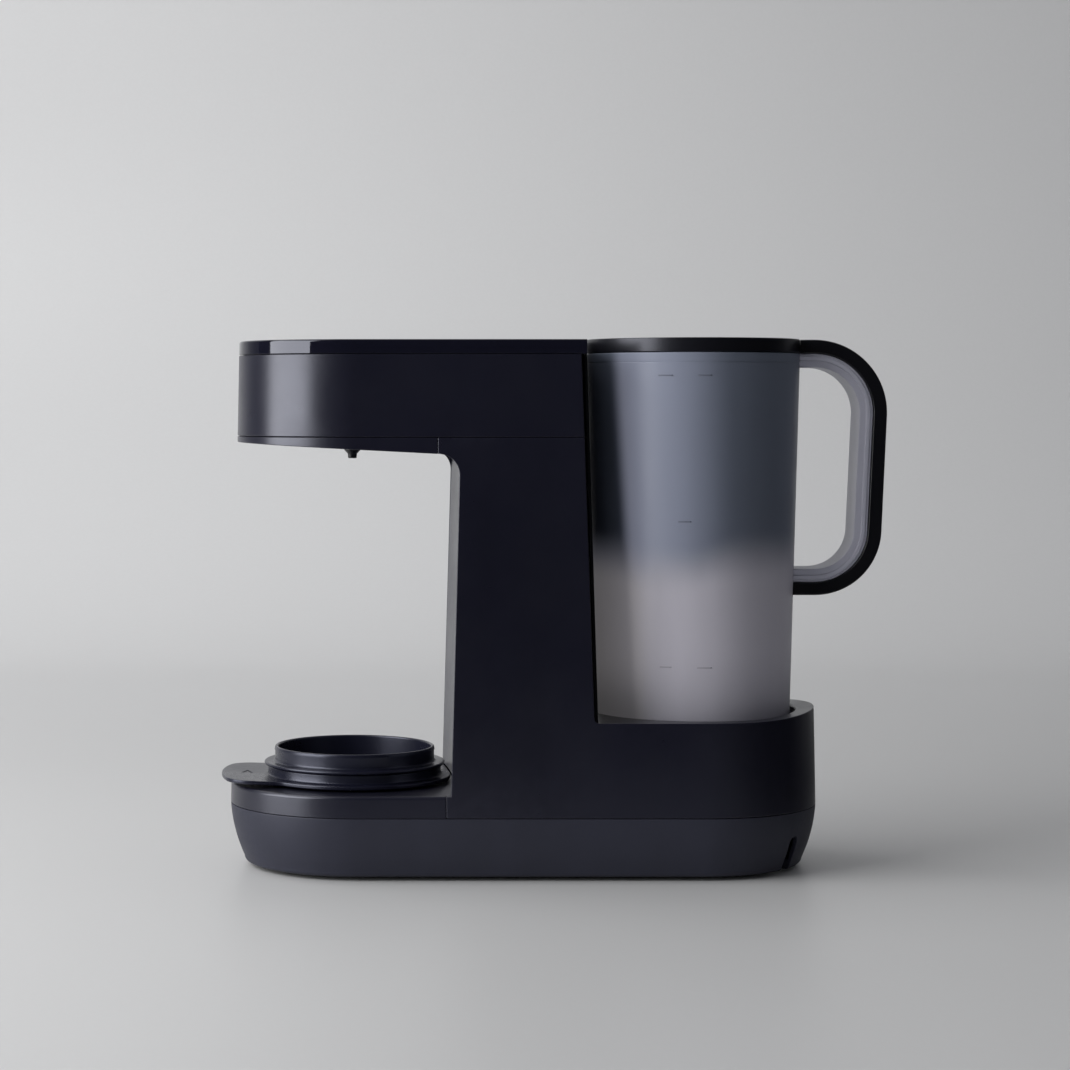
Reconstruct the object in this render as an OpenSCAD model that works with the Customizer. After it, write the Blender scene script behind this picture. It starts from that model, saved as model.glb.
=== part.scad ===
// Countertop water dispenser for baby bottles: a C-shaped body with a bottle bay at the front,
// two stacked bottle stands, and a lift-off water jug in a well at the rear.
// +X runs from the bottle bay to the jug's handle, +Z up, the table top is at z = 0.

/* [Body] */
// Distance from the origin forward to the axis of the rounded front end
bay_x = -100.4; // [-101:0.1:-100]
// Distance from the origin back to the axis of the rounded rear end
rear_axis_x = 68.2; // [68:0.1:68.4]
// Distance from the origin back to the axis of the jug
jug_x = 69; // [68.8:0.1:69.2]
// Half-width of the body at the seam of the base, and radius of its round ends
seam_r = 61.3; // [61:0.1:61.6]
// Inward lean of the outer walls for each millimetre of height
draft = 0.018; // [0.016:0.001:0.02]
// Wall thickness of the mouldings
wall = 2.5; // [2.3:0.1:2.6]
// Width of the shadow line between two mouldings
seam_gap = 0.4; // [0.3:0.05:0.5]
// Height of the table feet
foot_h = 2; // [1.8:0.1:2.2]
// Height of the seam between the base and the body
seam_z = 31.2; // [31:0.1:31.4]
// Height of the deck under the bottle
deck_z = 41.6; // [41.4:0.1:41.8]
// Height of the outer edge of the jug's well
rim_z = 76.5; // [76.2:0.1:76.8]
// Height of the seam between the head and its underside cover
head_z = 213.2; // [213:0.1:213.4]
// Height of the seam under the glossy top cover
cover_z = 253.2; // [253:0.1:253.4]
// Height of the top cover
top_z = 260.2; // [260:0.1:260.4]

/* [Jug] */
// Radius of the jug at the top of its wall
jug_top_r = 53; // [52.8:0.1:53]
// Taper of the jug, radius lost for each millimetre down
jug_taper = 0.0289; // [0.028:0.0005:0.0295]
// Thickness of the jug's wall
jug_wall = 2.4; // [2.2:0.1:2.6]
// Height of the jug's rim
jug_rim_z = 254.1; // [253.9:0.1:254.3]
// Radius of the lid
lid_r = 52.25; // [52:0.05:52.4]
// Height of the top of the lid and of the handle
lid_top_z = 261.2; // [261:0.1:261.4]
// Reach of the handle beyond the origin
handle_x = 163.9; // [163.6:0.1:164.2]
// Width of the handle's dark grip
grip_w = 26; // [24:0.5:27]

/* [Bottle stands] */
// Place of the stands' axis
stand_x = -100; // [-100.3:0.1:-99.7]
// Radius of the lower stand's flange
lower_flange_r = 47.9; // [47.5:0.1:48.2]
// Radius of the upper stand's flange
upper_flange_r = 45; // [44.6:0.1:45.3]
// Outer radius of the upper stand's cup
cup_r = 39.7; // [39.4:0.1:40]
// Height of the rim of the upper stand's cup
cup_rim_z = 58.8; // [58.4:0.1:59.2]
// Half-width of the lower stand's finger tab
tab_half_w = 33.5; // [32:0.5:35]

/* [Water path] */
// Place of the nozzle
nozzle_x = -101.1; // [-101.5:0.1:-100.7]
// Height of the nozzle's tip
nozzle_tip_z = 202; // [201.5:0.1:203]
// Outer diameter of the silicone hoses
hose_d = 9; // [8:0.5:9]
// Bore of the silicone hoses
hose_bore_d = 6; // [5.8:0.1:6]
// Radius of the flow heater's tube
heater_r = 11; // [10:0.5:11.5]
// Radius of the pump's head
pump_r = 17; // [15:0.5:17]

/* [Hidden] */
$fn = 96;

half_gap = seam_gap / 2;
slide_gap = 0.3;     // between parts that lift apart
fit_gap = 0.1;       // between parts that are fixed together
far = 200;           // longer than any part
navy = [0.09, 0.1, 0.15];
base_navy = [0.13, 0.14, 0.2];
black = [0.03, 0.03, 0.04];
frosted = [0.62, 0.64, 0.7, 0.6];

// Body outline in side view
deck_end_x = -56.4;  // vertical seam between the deck cover and the body
under_end_x = -60.2; // vertical seam between the underside cover and the body
cover_end_x = 11.3;  // rear edge of the top cover
fillet_r = 10;       // inner corner between column and head
front_lean = 0.0267; // lean of the column's front edge
rear_lean = 0.0342;  // lean of the column's rear edge
panel_lean = 0.0285; // lean of the rear panel, as the jug's wall
under_slope = 0.0506;
under_tip_x = -159;
under_tip_z = 210.2;
panel_dip = 3.2;     // depth of the front panel's hollow, which clears the stands
panel_r = 530;       // radius of that hollow
panel_t = 2.4;       // thickness of the rear panel
well_r = 50.5;       // bore of the well's rim
rim_t = 1.5;         // thickness of that rim over the well's liner
rise_x = 90;         // where the rim starts to rise towards the handle
rise_r = 259;        // radius of that rise in the side view
well_floor_z = 62;
liner_t = 2.1;

function half_w(z, inset = 0) = seam_r - draft * (z - seam_z) - inset;
function front_x(z) = -49.8 - (197.5 - z) * front_lean;
function rear_x(z) = 8.5 + (cover_z - z) * rear_lean;
function panel_x(z) = 11.4 + (cover_z - z) * panel_lean;
function under_z(x) = under_tip_z - under_slope * (x - under_tip_x);
function jug_r(z) = jug_top_r - jug_taper * (jug_rim_z - z);
function arc(cx, cy, r, from, to, steps) =
    [for (i = [0:steps]) let (a = from + (to - from) * i / steps) [cx + r * cos(a), cy + r * sin(a)]];
function mirrored(points) =
    concat([for (p = points) if (p[0] > 0) p],
        [for (i = [len(points) - 1:-1:0]) if (points[i][0] > 0) [-points[i][0], points[i][1]]]);

// Half section of a drafted wall between two heights
function band(z0, z1, inset = 0) =
    [[0, z0], [half_w(z0, inset), z0], [half_w(z1, inset), z1], [0, z1]];
// The same, with the upper edge rounded
function round_top_band(z0, z1, r, inset = 0) =
    concat([[0, z0], [half_w(z0, inset), z0]],
        arc(half_w(z1 - r, inset) - r, z1 - r, r, 0, 90, 5), [[0, z1]]);

// Solids with the body's plan: round ends about the bay's and the rear end's axes, straight flanks
module front_end(points) translate([bay_x, 0, 0]) rotate(90) rotate_extrude(angle = 180) polygon(points);
module rear_end(points) translate([rear_axis_x, 0, 0]) rotate(-90) rotate_extrude(angle = 180) polygon(points);
module flanks(points, x0, x1)
    translate([x0, 0, 0]) rotate([90, 0, 90]) linear_extrude(x1 - x0) polygon(mirrored(points));
module front_half(points, x1) {
    front_end(points);
    flanks(points, bay_x, x1);
}
module rear_half(points, x0) {
    flanks(points, x0, rear_axis_x);
    rear_end(points);
}
module whole(points) {
    front_end(points);
    flanks(points, bay_x, rear_axis_x);
    rear_end(points);
}
// A side view outline, right across the body
module across(points, w = far) rotate([90, 0, 0]) linear_extrude(w, center = true) polygon(points);
module ring(outer, inner, h) difference() {
    cylinder(r = outer, h = h);
    translate([0, 0, -1]) cylinder(r = inner, h = h + 2);
}
module box(lo, hi) translate(lo) cube(hi - lo);

/* ---- Base ---- */
plate_r = 46;        // round ends of the bottom plate
plate_z0 = 2.2;
plate_z1 = 4.7;
ledge_r = 42;
ledge_z1 = 6.7;
base_curve_r = 65;   // roundness of the base's sides
base_edge_r = 2.6;
boss_y = 39;
boss_r = 4;
screw_r = 1.4;
base_screw_x = [bay_x, 20, rear_axis_x];
foot_r = 8;
foot_places = [[-128, 26], [-128, -26], [96, 26], [96, -26]];
well_posts = [[36, 14], [34, -16], [80, -34], [101, 22]];
slot_angle = -40;    // the cord's way out, round the rear end
slot_r = 3.4;
slot_top_z = 19.1;

function base_inset(z) = let (d = seam_z - z) 0.05 * d + d * d / (2 * base_curve_r);
base_low_z = foot_h + base_edge_r;
base_side = [for (i = [0:7]) let (z = seam_z - half_gap - (seam_z - half_gap - base_low_z) * i / 7)
    [seam_r - base_inset(z), z]];
base_edge = arc(seam_r - base_inset(base_low_z) - base_edge_r, base_low_z, base_edge_r, -15, -90, 4);

module at_slot() translate([rear_axis_x, 0, 0]) rotate(slot_angle) children();

module lower_shell() color(base_navy) difference() {
    union() {
        difference() {
            whole(concat([[0, seam_z - half_gap]], base_side, base_edge, [[0, foot_h]]));
            whole(concat([[0, far]], [[seam_r - wall, far]],
                [for (p = base_side) if (p[1] > ledge_z1 + 1) [p[0] - wall, p[1]]],
                [[seam_r - base_inset(ledge_z1) - wall - 0.4, ledge_z1], [0, ledge_z1]]));
            whole([[0, 0], [ledge_r, 0], [ledge_r, far], [0, far]]);
            whole([[0, 0], [plate_r + slide_gap, 0], [plate_r + slide_gap, plate_z1], [0, plate_z1]]);
        }
        difference() {
            whole(band(seam_z - 2, seam_z + 2.8, wall + fit_gap));
            whole(band(seam_z - 3, seam_z + 4, wall + 1.3));
        }
        difference() {
            whole(band(seam_z - 3.5, seam_z - 2, wall - 0.6));
            whole(band(seam_z - 4, seam_z, wall + 1.3));
        }
        for (x = base_screw_x, side = [-1, 1])
            translate([x, side * boss_y, plate_z1]) cylinder(r = boss_r, h = 9);
    }
    for (x = base_screw_x, side = [-1, 1])
        translate([x, side * boss_y, 0]) cylinder(r = screw_r + fit_gap, h = 12);
    at_slot() {
        translate([46.5, 0, slot_top_z - slot_r]) rotate([0, 90, 0]) cylinder(r = slot_r, h = 20);
        box([46.5, -slot_r, -1], [66.5, slot_r, slot_top_z - slot_r]);
    }
}

module bottom_plate() color(black) difference() {
    union() {
        whole([[0, plate_z0], [plate_r, plate_z0], [plate_r, plate_z1], [0, plate_z1]]);
        for (x = [board_x0 + 4, board_x1 - 4], y = [-board_y + 4, board_y - 4])
            translate([x, y, plate_z0]) cylinder(r = 3, h = board_z - plate_z0);
        // Posts that carry the floor of the jug's well
        for (p = well_posts) translate([p[0], p[1], plate_z0]) cylinder(r = 3, h = well_floor_z - 2.4 - plate_z0);
    }
    for (side = [-1, 1]) translate([-11, side * 36, plate_z0 + 0.4]) cylinder(r = screw_r + fit_gap, h = 6);
    for (p = foot_places) translate([p[0], p[1], 0]) cylinder(r = foot_r + fit_gap, h = plate_z0 + 0.8);
    for (x = base_screw_x, side = [-1, 1]) translate([x, side * boss_y, 0]) {
        cylinder(r = screw_r + 0.3, h = 6);
        cylinder(r = 3.1, h = plate_z0 + 1.4);
    }
    // Air slots under the power board
    for (i = [0:5]) box([-84 + 8 * i, -14, 0], [-80.5 + 8 * i, 14, 6]);
}

module rubber_feet() color(black) for (p = foot_places) translate([p[0], p[1], 0]) {
    cylinder(r1 = foot_r - 0.8, r2 = foot_r, h = 0.8);
    translate([0, 0, 0.8]) cylinder(r = foot_r, h = plate_z0);
}

module base_screws() color("silver") for (x = base_screw_x, side = [-1, 1])
    translate([x, side * boss_y, 2.3]) difference() {
        union() {
            cylinder(r = 2.8, h = 1.3);
            cylinder(r = screw_r, h = 9.4);
        }
        translate([-1.9, -0.4, -1]) cube([3.8, 0.8, 1.7]);
        translate([-0.4, -1.9, -1]) cube([0.8, 3.8, 1.7]);
    }

// The cord's clamp, on the base's inner ledge behind the slot
module cord_gland() color(black) at_slot() difference() {
    box([44, -7, ledge_z1], [51.6, 7, 23]);
    translate([40, 0, slot_top_z - slot_r]) rotate([0, 90, 0]) cylinder(r = 3.2, h = 20);
}

/* ---- Body ---- */
deck_edge_r = 1.6;

// Everything in front of the front panel's hollow face, set in by some thickness
module before_panel(inset) translate([front_x(deck_z) + panel_dip, 0, deck_z])
    rotate([0, atan(front_lean), 0]) translate([-panel_r, 0, -20])
    cylinder(r = panel_r + inset, h = far, $fn = 256);

module front_deck_cover() color(navy) difference() {
    union() {
        front_half(round_top_band(seam_z + half_gap, deck_z, deck_edge_r), deck_end_x - half_gap);
        intersection() {
            flanks(band(deck_z - wall, deck_z, wall + slide_gap), bay_x, front_x(deck_z) + panel_dip + 1);
            before_panel(-slide_gap);
        }
    }
    front_half(band(seam_z - 1, deck_z - wall, wall), deck_end_x + 1);
}

well_edge_x = panel_x(rim_z - wall) + fit_gap;
fillet_z = under_z(under_end_x) - fillet_r;
fillet_x = front_x(fillet_z) - fillet_r;

module body_shell() color(navy) difference() {
    intersection() {
        rear_half(band(seam_z + half_gap, head_z - half_gap), -64);
        across([[deck_end_x + half_gap, 0], [deck_end_x + half_gap, deck_z], [front_x(deck_z), deck_z],
            [front_x(fillet_z), fillet_z], [fillet_x, fillet_z], [fillet_x, fillet_z + fillet_r],
            [under_end_x, fillet_z + fillet_r], [under_end_x, far * 2], [rear_x(far * 2), far * 2],
            [rear_x(rim_z + 2), rim_z + 2], [rear_x(rim_z) + 2, rim_z], [rise_x, rim_z], [rise_x, rim_z + 6],
            [far, rim_z + 6], [far, 0]]);
    }
    // Top of the well's rim, rising towards the handle
    intersection() {
        translate([rise_x, 0, rim_z + rise_r]) rotate([90, 0, 0])
            cylinder(r = rise_r, h = far, center = true, $fn = 256);
        box([rise_x, -far, 0], [far, far, far]);
    }
    translate([fillet_x, 0, fillet_z]) rotate([90, 0, 0])
        cylinder(r = fillet_r, h = far, center = true);
    intersection() {
        rear_half(band(0, far * 2, wall), -70);
        across([[-70, 0], [-70, far * 2], [well_edge_x, far * 2], [well_edge_x, rim_z - wall],
            [far, rim_z - wall], [far, 0]]);
    }
    translate([jug_x, 0, 0]) cylinder(r = well_r + liner_t + slide_gap, h = rim_z - rim_t);
    translate([jug_x, 0, 0]) cylinder(r = well_r, h = far);
}

module column_front_panel() color(navy) intersection() {
    difference() {
        before_panel(wall);
        before_panel(0);
    }
    flanks(band(deck_z + slide_gap, head_z, wall + fit_gap), -75, -36);
    across([[-75, 0], [-75, under_z(-75) - fit_gap], [-36, under_z(-36) - fit_gap], [-36, 0]]);
}

module column_rear_panel() color(black) intersection() {
    flanks(band(well_floor_z - 3, far * 2, wall + fit_gap), 0, 40);
    across([[panel_x(0) - panel_t, 0], [panel_x(0), 0], [panel_x(cover_z), cover_z - half_gap],
        [panel_x(cover_z) - panel_t, cover_z - half_gap]]);
}

/* ---- Head ---- */
module above_underside(t) translate([under_tip_x, 0, under_tip_z + t])
    rotate([0, atan(under_slope), 0]) translate([-20, -far / 2, 0]) cube([200, far, 60]);

module head_underside() color(navy) difference() {
    union() {
        intersection() {
            front_half(band(195, head_z - half_gap), under_end_x - half_gap);
            above_underside(0);
        }
        intersection() {
            flanks(band(195, head_z - half_gap, wall + fit_gap), -70, -40);
            above_underside(0);
        }
    }
    intersection() {
        front_half(band(195, far * 2, wall), -30);
        above_underside(wall);
    }
    translate([nozzle_x, 0, 0]) cylinder(r = 5.1, h = far * 2);
}

module head_shell() color(navy) difference() {
    union() {
        intersection() {
            front_half(band(head_z + half_gap, cover_z - half_gap), 20);
            across([[-far, 0], [-far, 300], [rear_x(300), 300], [rear_x(0), 0]]);
        }
        intersection() {
            front_half(band(head_z - 2.2, head_z + 1.4, wall + fit_gap), 6);
            above_underside(wall + fit_gap);
        }
    }
    front_half(band(head_z + 1.4, 300, wall), 30);
    front_half(band(200, 300, wall + 1.4), 30);
}

cover_edge_r = 1.8;
panel_z0 = top_z - wall - 8;    // underside of the control board
panel_z1 = panel_z0 + 1.6;
module cover_posts(r, z0, h) for (x = [-140, -62], y = [-30, 30]) translate([x, y, z0]) cylinder(r = r, h = h);

module top_cover() color(black) difference() {
    union() {
        difference() {
            union() {
                front_half(round_top_band(cover_z + half_gap, top_z, cover_edge_r), cover_end_x);
                front_half(band(cover_z - 2.6, cover_z + 1, wall + fit_gap),
                    panel_x(cover_z) - panel_t - fit_gap);
            }
            front_half(band(cover_z - 3, top_z - wall, wall + 1.4), panel_x(cover_z) - panel_t - 2);
        }
        cover_posts(3, panel_z1, 7);
    }
    cover_posts(screw_r + fit_gap, panel_z1 - 1, 6);
}

module control_board() color("darkgreen") {
    difference() {
        intersection() {
            front_half(band(panel_z0, panel_z1, wall + 3), -56);
            box([-146, -36, 0], [0, 36, 300]);
        }
        cover_posts(1.7, panel_z0 - 1, 5);
    }
    // Display, touch springs and the plug for the harness
    box([-112, -16, panel_z1], [-92, 16, top_z - wall - 1]);
    for (x = [-132, -122, -82, -72], y = [-20, 0, 20])
        translate([x, y, panel_z1]) cylinder(r = 3.2, h = top_z - wall - 0.6 - panel_z1);
    box([-78, -6, panel_z0 - 6], [-68, 6, panel_z0]);
}

module cover_screws() color("silver") {
    cover_posts(screw_r, panel_z0, 6);
    cover_posts(2.8, panel_z0 - 1.4, 1.4);
}

/* ---- Nozzle, hoses and heater ---- */
spigot_z1 = 214;
holder_z1 = 224;

module nozzle() color(black) translate([nozzle_x, 0, 0]) difference() {
    union() {
        translate([0, 0, nozzle_tip_z]) cylinder(r1 = 2.1, r2 = 2.3, h = 2.3);
        translate([0, 0, nozzle_tip_z + 2.3]) cylinder(r1 = 2.3, r2 = 4.1, h = 1.7);
        translate([0, 0, nozzle_tip_z + 4]) cylinder(r = 5, h = 5);
        translate([0, 0, nozzle_tip_z + 8]) cylinder(r = 3.4, h = spigot_z1 - nozzle_tip_z - 8);
    }
    translate([0, 0, nozzle_tip_z - 1]) cylinder(r = 1.2, h = 30);
}

// Flanged boss welded to the underside cover, with the hose's barb on top
module nozzle_holder() color(black) intersection() {
    above_underside(wall);
    translate([nozzle_x, 0, 0]) difference() {
        union() {
            translate([0, 0, 205]) cylinder(r = 9, h = 8);
            translate([0, 0, 205]) cylinder(r = 6.5, h = holder_z1 - 205);
            translate([0, 0, holder_z1 - 1]) cylinder(r = hose_bore_d / 2 - 0.05, h = 6);
        }
        cylinder(r = 5.1, h = nozzle_tip_z + 9.1);
        cylinder(r = 3.5, h = spigot_z1 + fit_gap);
        cylinder(r = 2, h = 300);
    }
}

// Frame whose Z runs along dir, at point p
module along(p, dir) {
    side = abs(dir[2]) > 0.5 ? [1, 0, 0] : [0, 0, 1];
    across_dir = cross(dir, side);
    multmatrix([[side[0], across_dir[0], dir[0], p[0]], [side[1], across_dir[1], dir[1], p[1]],
        [side[2], across_dir[2], dir[2], p[2]], [0, 0, 0, 1]]) children();
}
// Quarter bend at corner p, coming in along a and going out along b
module bend(p, a, b, outer_r, bore_r, bend_r) {
    c = p - a * bend_r + b * bend_r;
    n = cross(a, b);
    multmatrix([[-b[0], a[0], n[0], c[0]], [-b[1], a[1], n[1], c[1]],
        [-b[2], a[2], n[2], c[2]], [0, 0, 0, 1]])
        rotate_extrude(angle = 90) translate([bend_r, 0]) difference() {
            circle(r = outer_r);
            if (bore_r > 0) circle(r = bore_r);
        }
}
// Hose or cable through points joined by straight runs at right angles
module hose(route, outer_r, bore_r, bend_r) {
    last = len(route) - 1;
    dirs = [for (i = [0:last - 1]) (route[i + 1] - route[i]) / norm(route[i + 1] - route[i])];
    for (i = [0:last - 1]) {
        head_cut = i == 0 ? 0 : bend_r;
        tail_cut = i == last - 1 ? 0 : bend_r;
        run = norm(route[i + 1] - route[i]) - head_cut - tail_cut;
        along(route[i] + dirs[i] * head_cut, dirs[i]) difference() {
            cylinder(r = outer_r, h = run);
            if (bore_r > 0) translate([0, 0, -1]) cylinder(r = bore_r, h = run + 2);
        }
    }
    for (i = [1:last - 1]) bend(route[i], dirs[i - 1], dirs[i], outer_r, bore_r, bend_r);
}
module silicone(route) color([0.8, 0.8, 0.78]) hose(route, hose_d / 2, hose_bore_d / 2, 7);

heater_x = -4;
heater_z0 = 97;
heater_z1 = 185;
cap_h = 14;
cap_r = 13;
probe_z = heater_z1 + 8;
meter_z0 = 60;
meter_z1 = 74;
meter_r = 11;
meter_wall = 2;
pump_x = 44;         // front face of the pump
pump_y = 24;
pump_z = 24;
dock_z0 = 44;
hose_cross_z = 50;   // height of the run below the well

module outlet_hose() silicone([[heater_x, 0, heater_z1 + cap_h], [heater_x, 0, 236],
    [nozzle_x, 0, 236], [nozzle_x, 0, holder_z1]]);
module feed_hose() silicone([[pump_x + 11, pump_y, pump_z + pump_r], [pump_x + 11, pump_y, hose_cross_z],
    [heater_x, pump_y, hose_cross_z], [heater_x, 0, hose_cross_z], [heater_x, 0, meter_z0]]);
module heater_hose() silicone_straight([heater_x, 0, meter_z1], heater_z0 - cap_h - meter_z1);
module suction_hose() silicone([[jug_x, 0, dock_z0], [jug_x, 0, pump_z], [28, 0, pump_z],
    [28, pump_y, pump_z], [pump_x, pump_y, pump_z]]);
module silicone_straight(p, h) color([0.8, 0.8, 0.78]) translate(p) ring(hose_d / 2, hose_bore_d / 2, h);

module heater_tube() color("lightsteelblue") translate([heater_x, 0, heater_z0]) difference() {
    union() {
        cylinder(r = heater_r, h = heater_z1 - heater_z0);
        // Printed heating track, a raised band round the tube
        for (i = [0:8]) translate([0, 0, 6 + 8.6 * i]) cylinder(r = heater_r + 0.4, h = 5);
    }
    translate([0, 0, -1]) cylinder(r = heater_r - 1, h = 100);
}

module heater_cap(port_h) difference() {
    union() {
        cylinder(r = cap_r, h = cap_h);
        translate([0, 0, cap_h]) cylinder(r = hose_bore_d / 2 - 0.05, h = port_h);
    }
    translate([0, 0, -1]) cylinder(r = heater_r - 2, h = cap_h - 2);
    cylinder(r = 2, h = 40);
}
module heater_caps() color("whitesmoke") {
    difference() {
        translate([heater_x, 0, heater_z1]) heater_cap(6);
        translate([heater_x, -cap_r - 1, probe_z]) rotate([-90, 0, 0]) cylinder(r = 1.6, h = 6);
    }
    translate([heater_x, 0, heater_z0]) mirror([0, 0, 1]) heater_cap(4);
}

frame_x0 = -22;
frame_x1 = -19.5;
module heater_clips() color(black) for (z = [103.4, 163.6]) translate([0, 0, z]) difference() {
    union() {
        translate([heater_x, 0, 0]) cylinder(r = heater_r + 3, h = 7);
        box([frame_x1, -9, 0], [heater_x - 8, 9, 7]);
    }
    translate([heater_x, 0, -1]) cylinder(r = heater_r + 0.45, h = 20);
}

// Cut-out switch on the heater's side, with its two tabs
module thermal_cutout() color("gold") {
    translate([heater_x + heater_r + 0.45, 0, 140]) rotate([0, 90, 0]) cylinder(r = 6, h = 4);
    for (y = [-3, 3]) box([heater_x + heater_r + 1, y - 1.5, 145], [heater_x + heater_r + 2, y + 1.5, 153]);
}
module temperature_probe() color("orange") translate([heater_x, 0, probe_z]) rotate([90, 0, 0]) {
    translate([0, 0, cap_r - 4.5]) cylinder(r = 1.5, h = 6);
    translate([0, 0, cap_r]) cylinder(r = 3, h = 6);
    translate([0, 0, cap_r + 5]) cylinder(r = 2, h = 6);
}

/* ---- Pump ---- */
pump_head = 18;      // depth of the pump's head
motor_r = 12.5;
motor_len = 32;
shaft_r = 1.5;
module at_pump() translate([pump_x, pump_y, pump_z]) rotate([0, 90, 0]) children();

module pump_cover() color(black) at_pump() difference() {
    union() {
        cylinder(r = pump_r, h = 3.5);
        translate([0, 0, -7]) cylinder(r = hose_bore_d / 2 - 0.05, h = 8);
    }
    translate([0, 0, -8]) cylinder(r = 2, h = 20);
}
module pump_housing() color("dimgray") at_pump() difference() {
    union() {
        translate([0, 0, 3.5]) cylinder(r = pump_r, h = pump_head - 3.5);
        translate([0, 0, 11]) rotate([0, -90, 0]) cylinder(r = hose_bore_d / 2 - 0.05, h = pump_r + 2);
    }
    translate([0, 0, 3]) cylinder(r = pump_r - 3, h = 11);
    translate([0, 0, 11]) rotate([0, -90, 0]) cylinder(r = 2, h = 40);
    cylinder(r = shaft_r + 0.08, h = 40);
}
// Disc with six vanes on the motor's shaft
module pump_impeller() color("white") at_pump() {
    translate([0, 0, 9]) cylinder(r = 12.5, h = 3);
    translate([0, 0, 4.5]) cylinder(r = 3, h = 5);
    for (i = [0:5]) rotate(60 * i) box([2, -0.8, 4.5], [12, 0.8, 9.5]);
    translate([0, 0, 11]) cylinder(r = shaft_r, h = 30);
}
module pump_motor() color("silver") at_pump() difference() {
    translate([0, 0, pump_head]) cylinder(r = motor_r, h = motor_len);
    translate([0, 0, pump_head - 1]) cylinder(r = shaft_r + 0.08, h = 26);
}
// Rubber saddle under the motor
module pump_mount() color(black) difference() {
    box([pump_x + pump_head + 6, pump_y - 11, plate_z1], [pump_x + pump_head + 28, pump_y + 11, 20]);
    at_pump() cylinder(r = motor_r, h = far);
}

/* ---- Flow meter ---- */
module flow_meter() color("white") difference() {
    union() {
        translate([heater_x, 0, meter_z0]) cylinder(r = meter_r, h = meter_z1 - meter_z0);
        translate([heater_x, 0, meter_z0 - 2.8]) cylinder(r = hose_bore_d / 2 - 0.05, h = 20.4);
        box([frame_x1, -6, meter_z0 + 2], [heater_x - 8, 6, meter_z1 - 2]);
    }
    translate([heater_x, 0, meter_z0 + meter_wall])
        cylinder(r = meter_r - meter_wall, h = meter_z1 - meter_z0 - 2 * meter_wall);
    difference() {
        translate([heater_x, 0, 40]) cylinder(r = 2.2, h = 60);
        // Bearing bars of the turbine's spindle
        for (z = [meter_z0, meter_z1 - meter_wall])
            box([heater_x - 4, -1.3, z], [heater_x + 4, 1.3, z + meter_wall]);
    }
    translate([heater_x, 0, meter_z0 + 0.5]) cylinder(r = spindle_r + 0.06, h = meter_z1 - meter_z0 - 1);
}
spindle_r = 0.8;
module flow_turbine() color("red") translate([heater_x, 0, meter_z0 + meter_wall + 0.6]) {
    translate([0, 0, -1.8]) cylinder(r = spindle_r, h = meter_z1 - meter_z0 - 2 * meter_wall + 2.4);
    cylinder(r = 2.6, h = meter_z1 - meter_z0 - 2 * meter_wall - 1.2);
    for (i = [0:5]) rotate(60 * i) translate([2, 0, 4.4]) rotate([35, 0, 0])
        translate([0, -0.5, -3]) cube([5.6, 1, 6]);
}

/* ---- Dock under the jug ---- */
neck_r = 9.7;        // jug's valve neck
dock_bore_r = 11.4;
dock_r = 13.6;
pin_top_z = 57;
module at_jug() translate([jug_x, 0, 0]) children();

module well_liner() color(navy) difference() {
    at_jug() difference() {
        translate([0, 0, well_floor_z - 2.4])
            cylinder(r = well_r + liner_t, h = rim_z - rim_t - fit_gap - well_floor_z + 2.4);
        translate([0, 0, well_floor_z]) cylinder(r = well_r, h = far);
        cylinder(r = dock_r + fit_gap, h = far);
    }
    across([[-far, 0], [-far, far], [panel_x(far) + fit_gap, far], [panel_x(0) + fit_gap, 0]]);
}

module dock_socket() color(black) at_jug() difference() {
    union() {
        translate([0, 0, dock_z0]) cylinder(r = dock_r, h = well_floor_z - 0.3 - dock_z0);
        translate([0, 0, well_floor_z - 4.4]) cylinder(r = 20, h = 2);
        translate([0, 0, dock_z0 - 6]) cylinder(r = hose_bore_d / 2 - 0.05, h = 8);
    }
    difference() {
        translate([0, 0, dock_z0 + 2]) cylinder(r = dock_bore_r, h = 40);
        // Pin that opens the jug's valve, on three ribs
        cylinder(r = 2, h = pin_top_z);
        for (i = [0:2]) rotate(120 * i) box([0, -1, 0], [dock_r, 1, dock_z0 + 6]);
    }
    translate([0, 0, 57.05]) cylinder(r = dock_bore_r + 0.4, h = 1.9);
    cylinder(r = 2.2, h = dock_z0 + 4);
}
module dock_seal() color("tomato") at_jug() translate([0, 0, 58]) rotate_extrude()
    translate([10.95, 0]) circle(r = 0.8, $fn = 24);

/* ---- Boards, frame and harness ---- */
board_x0 = -96;
board_x1 = -34;
board_y = 36;
board_z = 11;
module power_board() color("darkgreen") {
    box([board_x0, -board_y, board_z], [board_x1, board_y, board_z + 1.6]);
    // Transformer, relay, smoothing capacitors and the terminal block
    box([-90, -28, board_z + 1.6], [-66, -4, board_z + 20]);
    box([-60, -30, board_z + 1.6], [-44, -12, board_z + 14]);
    for (y = [8, 24]) translate([-80, y, board_z + 1.6]) cylinder(r = 6.5, h = 18);
    box([-60, 2, board_z + 1.6], [-48, 30, board_z + 10]);
}
module main_board() color("darkgreen") {
    box([frame_x0 - 8, -35, 90], [frame_x0 - 6.4, 35, 190]);
    for (y = [-30, 30], z = [96, 184]) translate([frame_x0 - 6.4, y, z]) rotate([0, 90, 0])
        cylinder(r = 3, h = 6.4);
    for (z = [110, 140, 168]) box([frame_x0 - 11, -12, z - 8], [frame_x0 - 8, 12, z + 8]);
    translate([frame_x0 - 8, -24, 150]) rotate([0, -90, 0]) cylinder(r = 5, h = 7);
    box([frame_x0 - 14, 20, 100], [frame_x0 - 8, 28, 130]);
}
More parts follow.
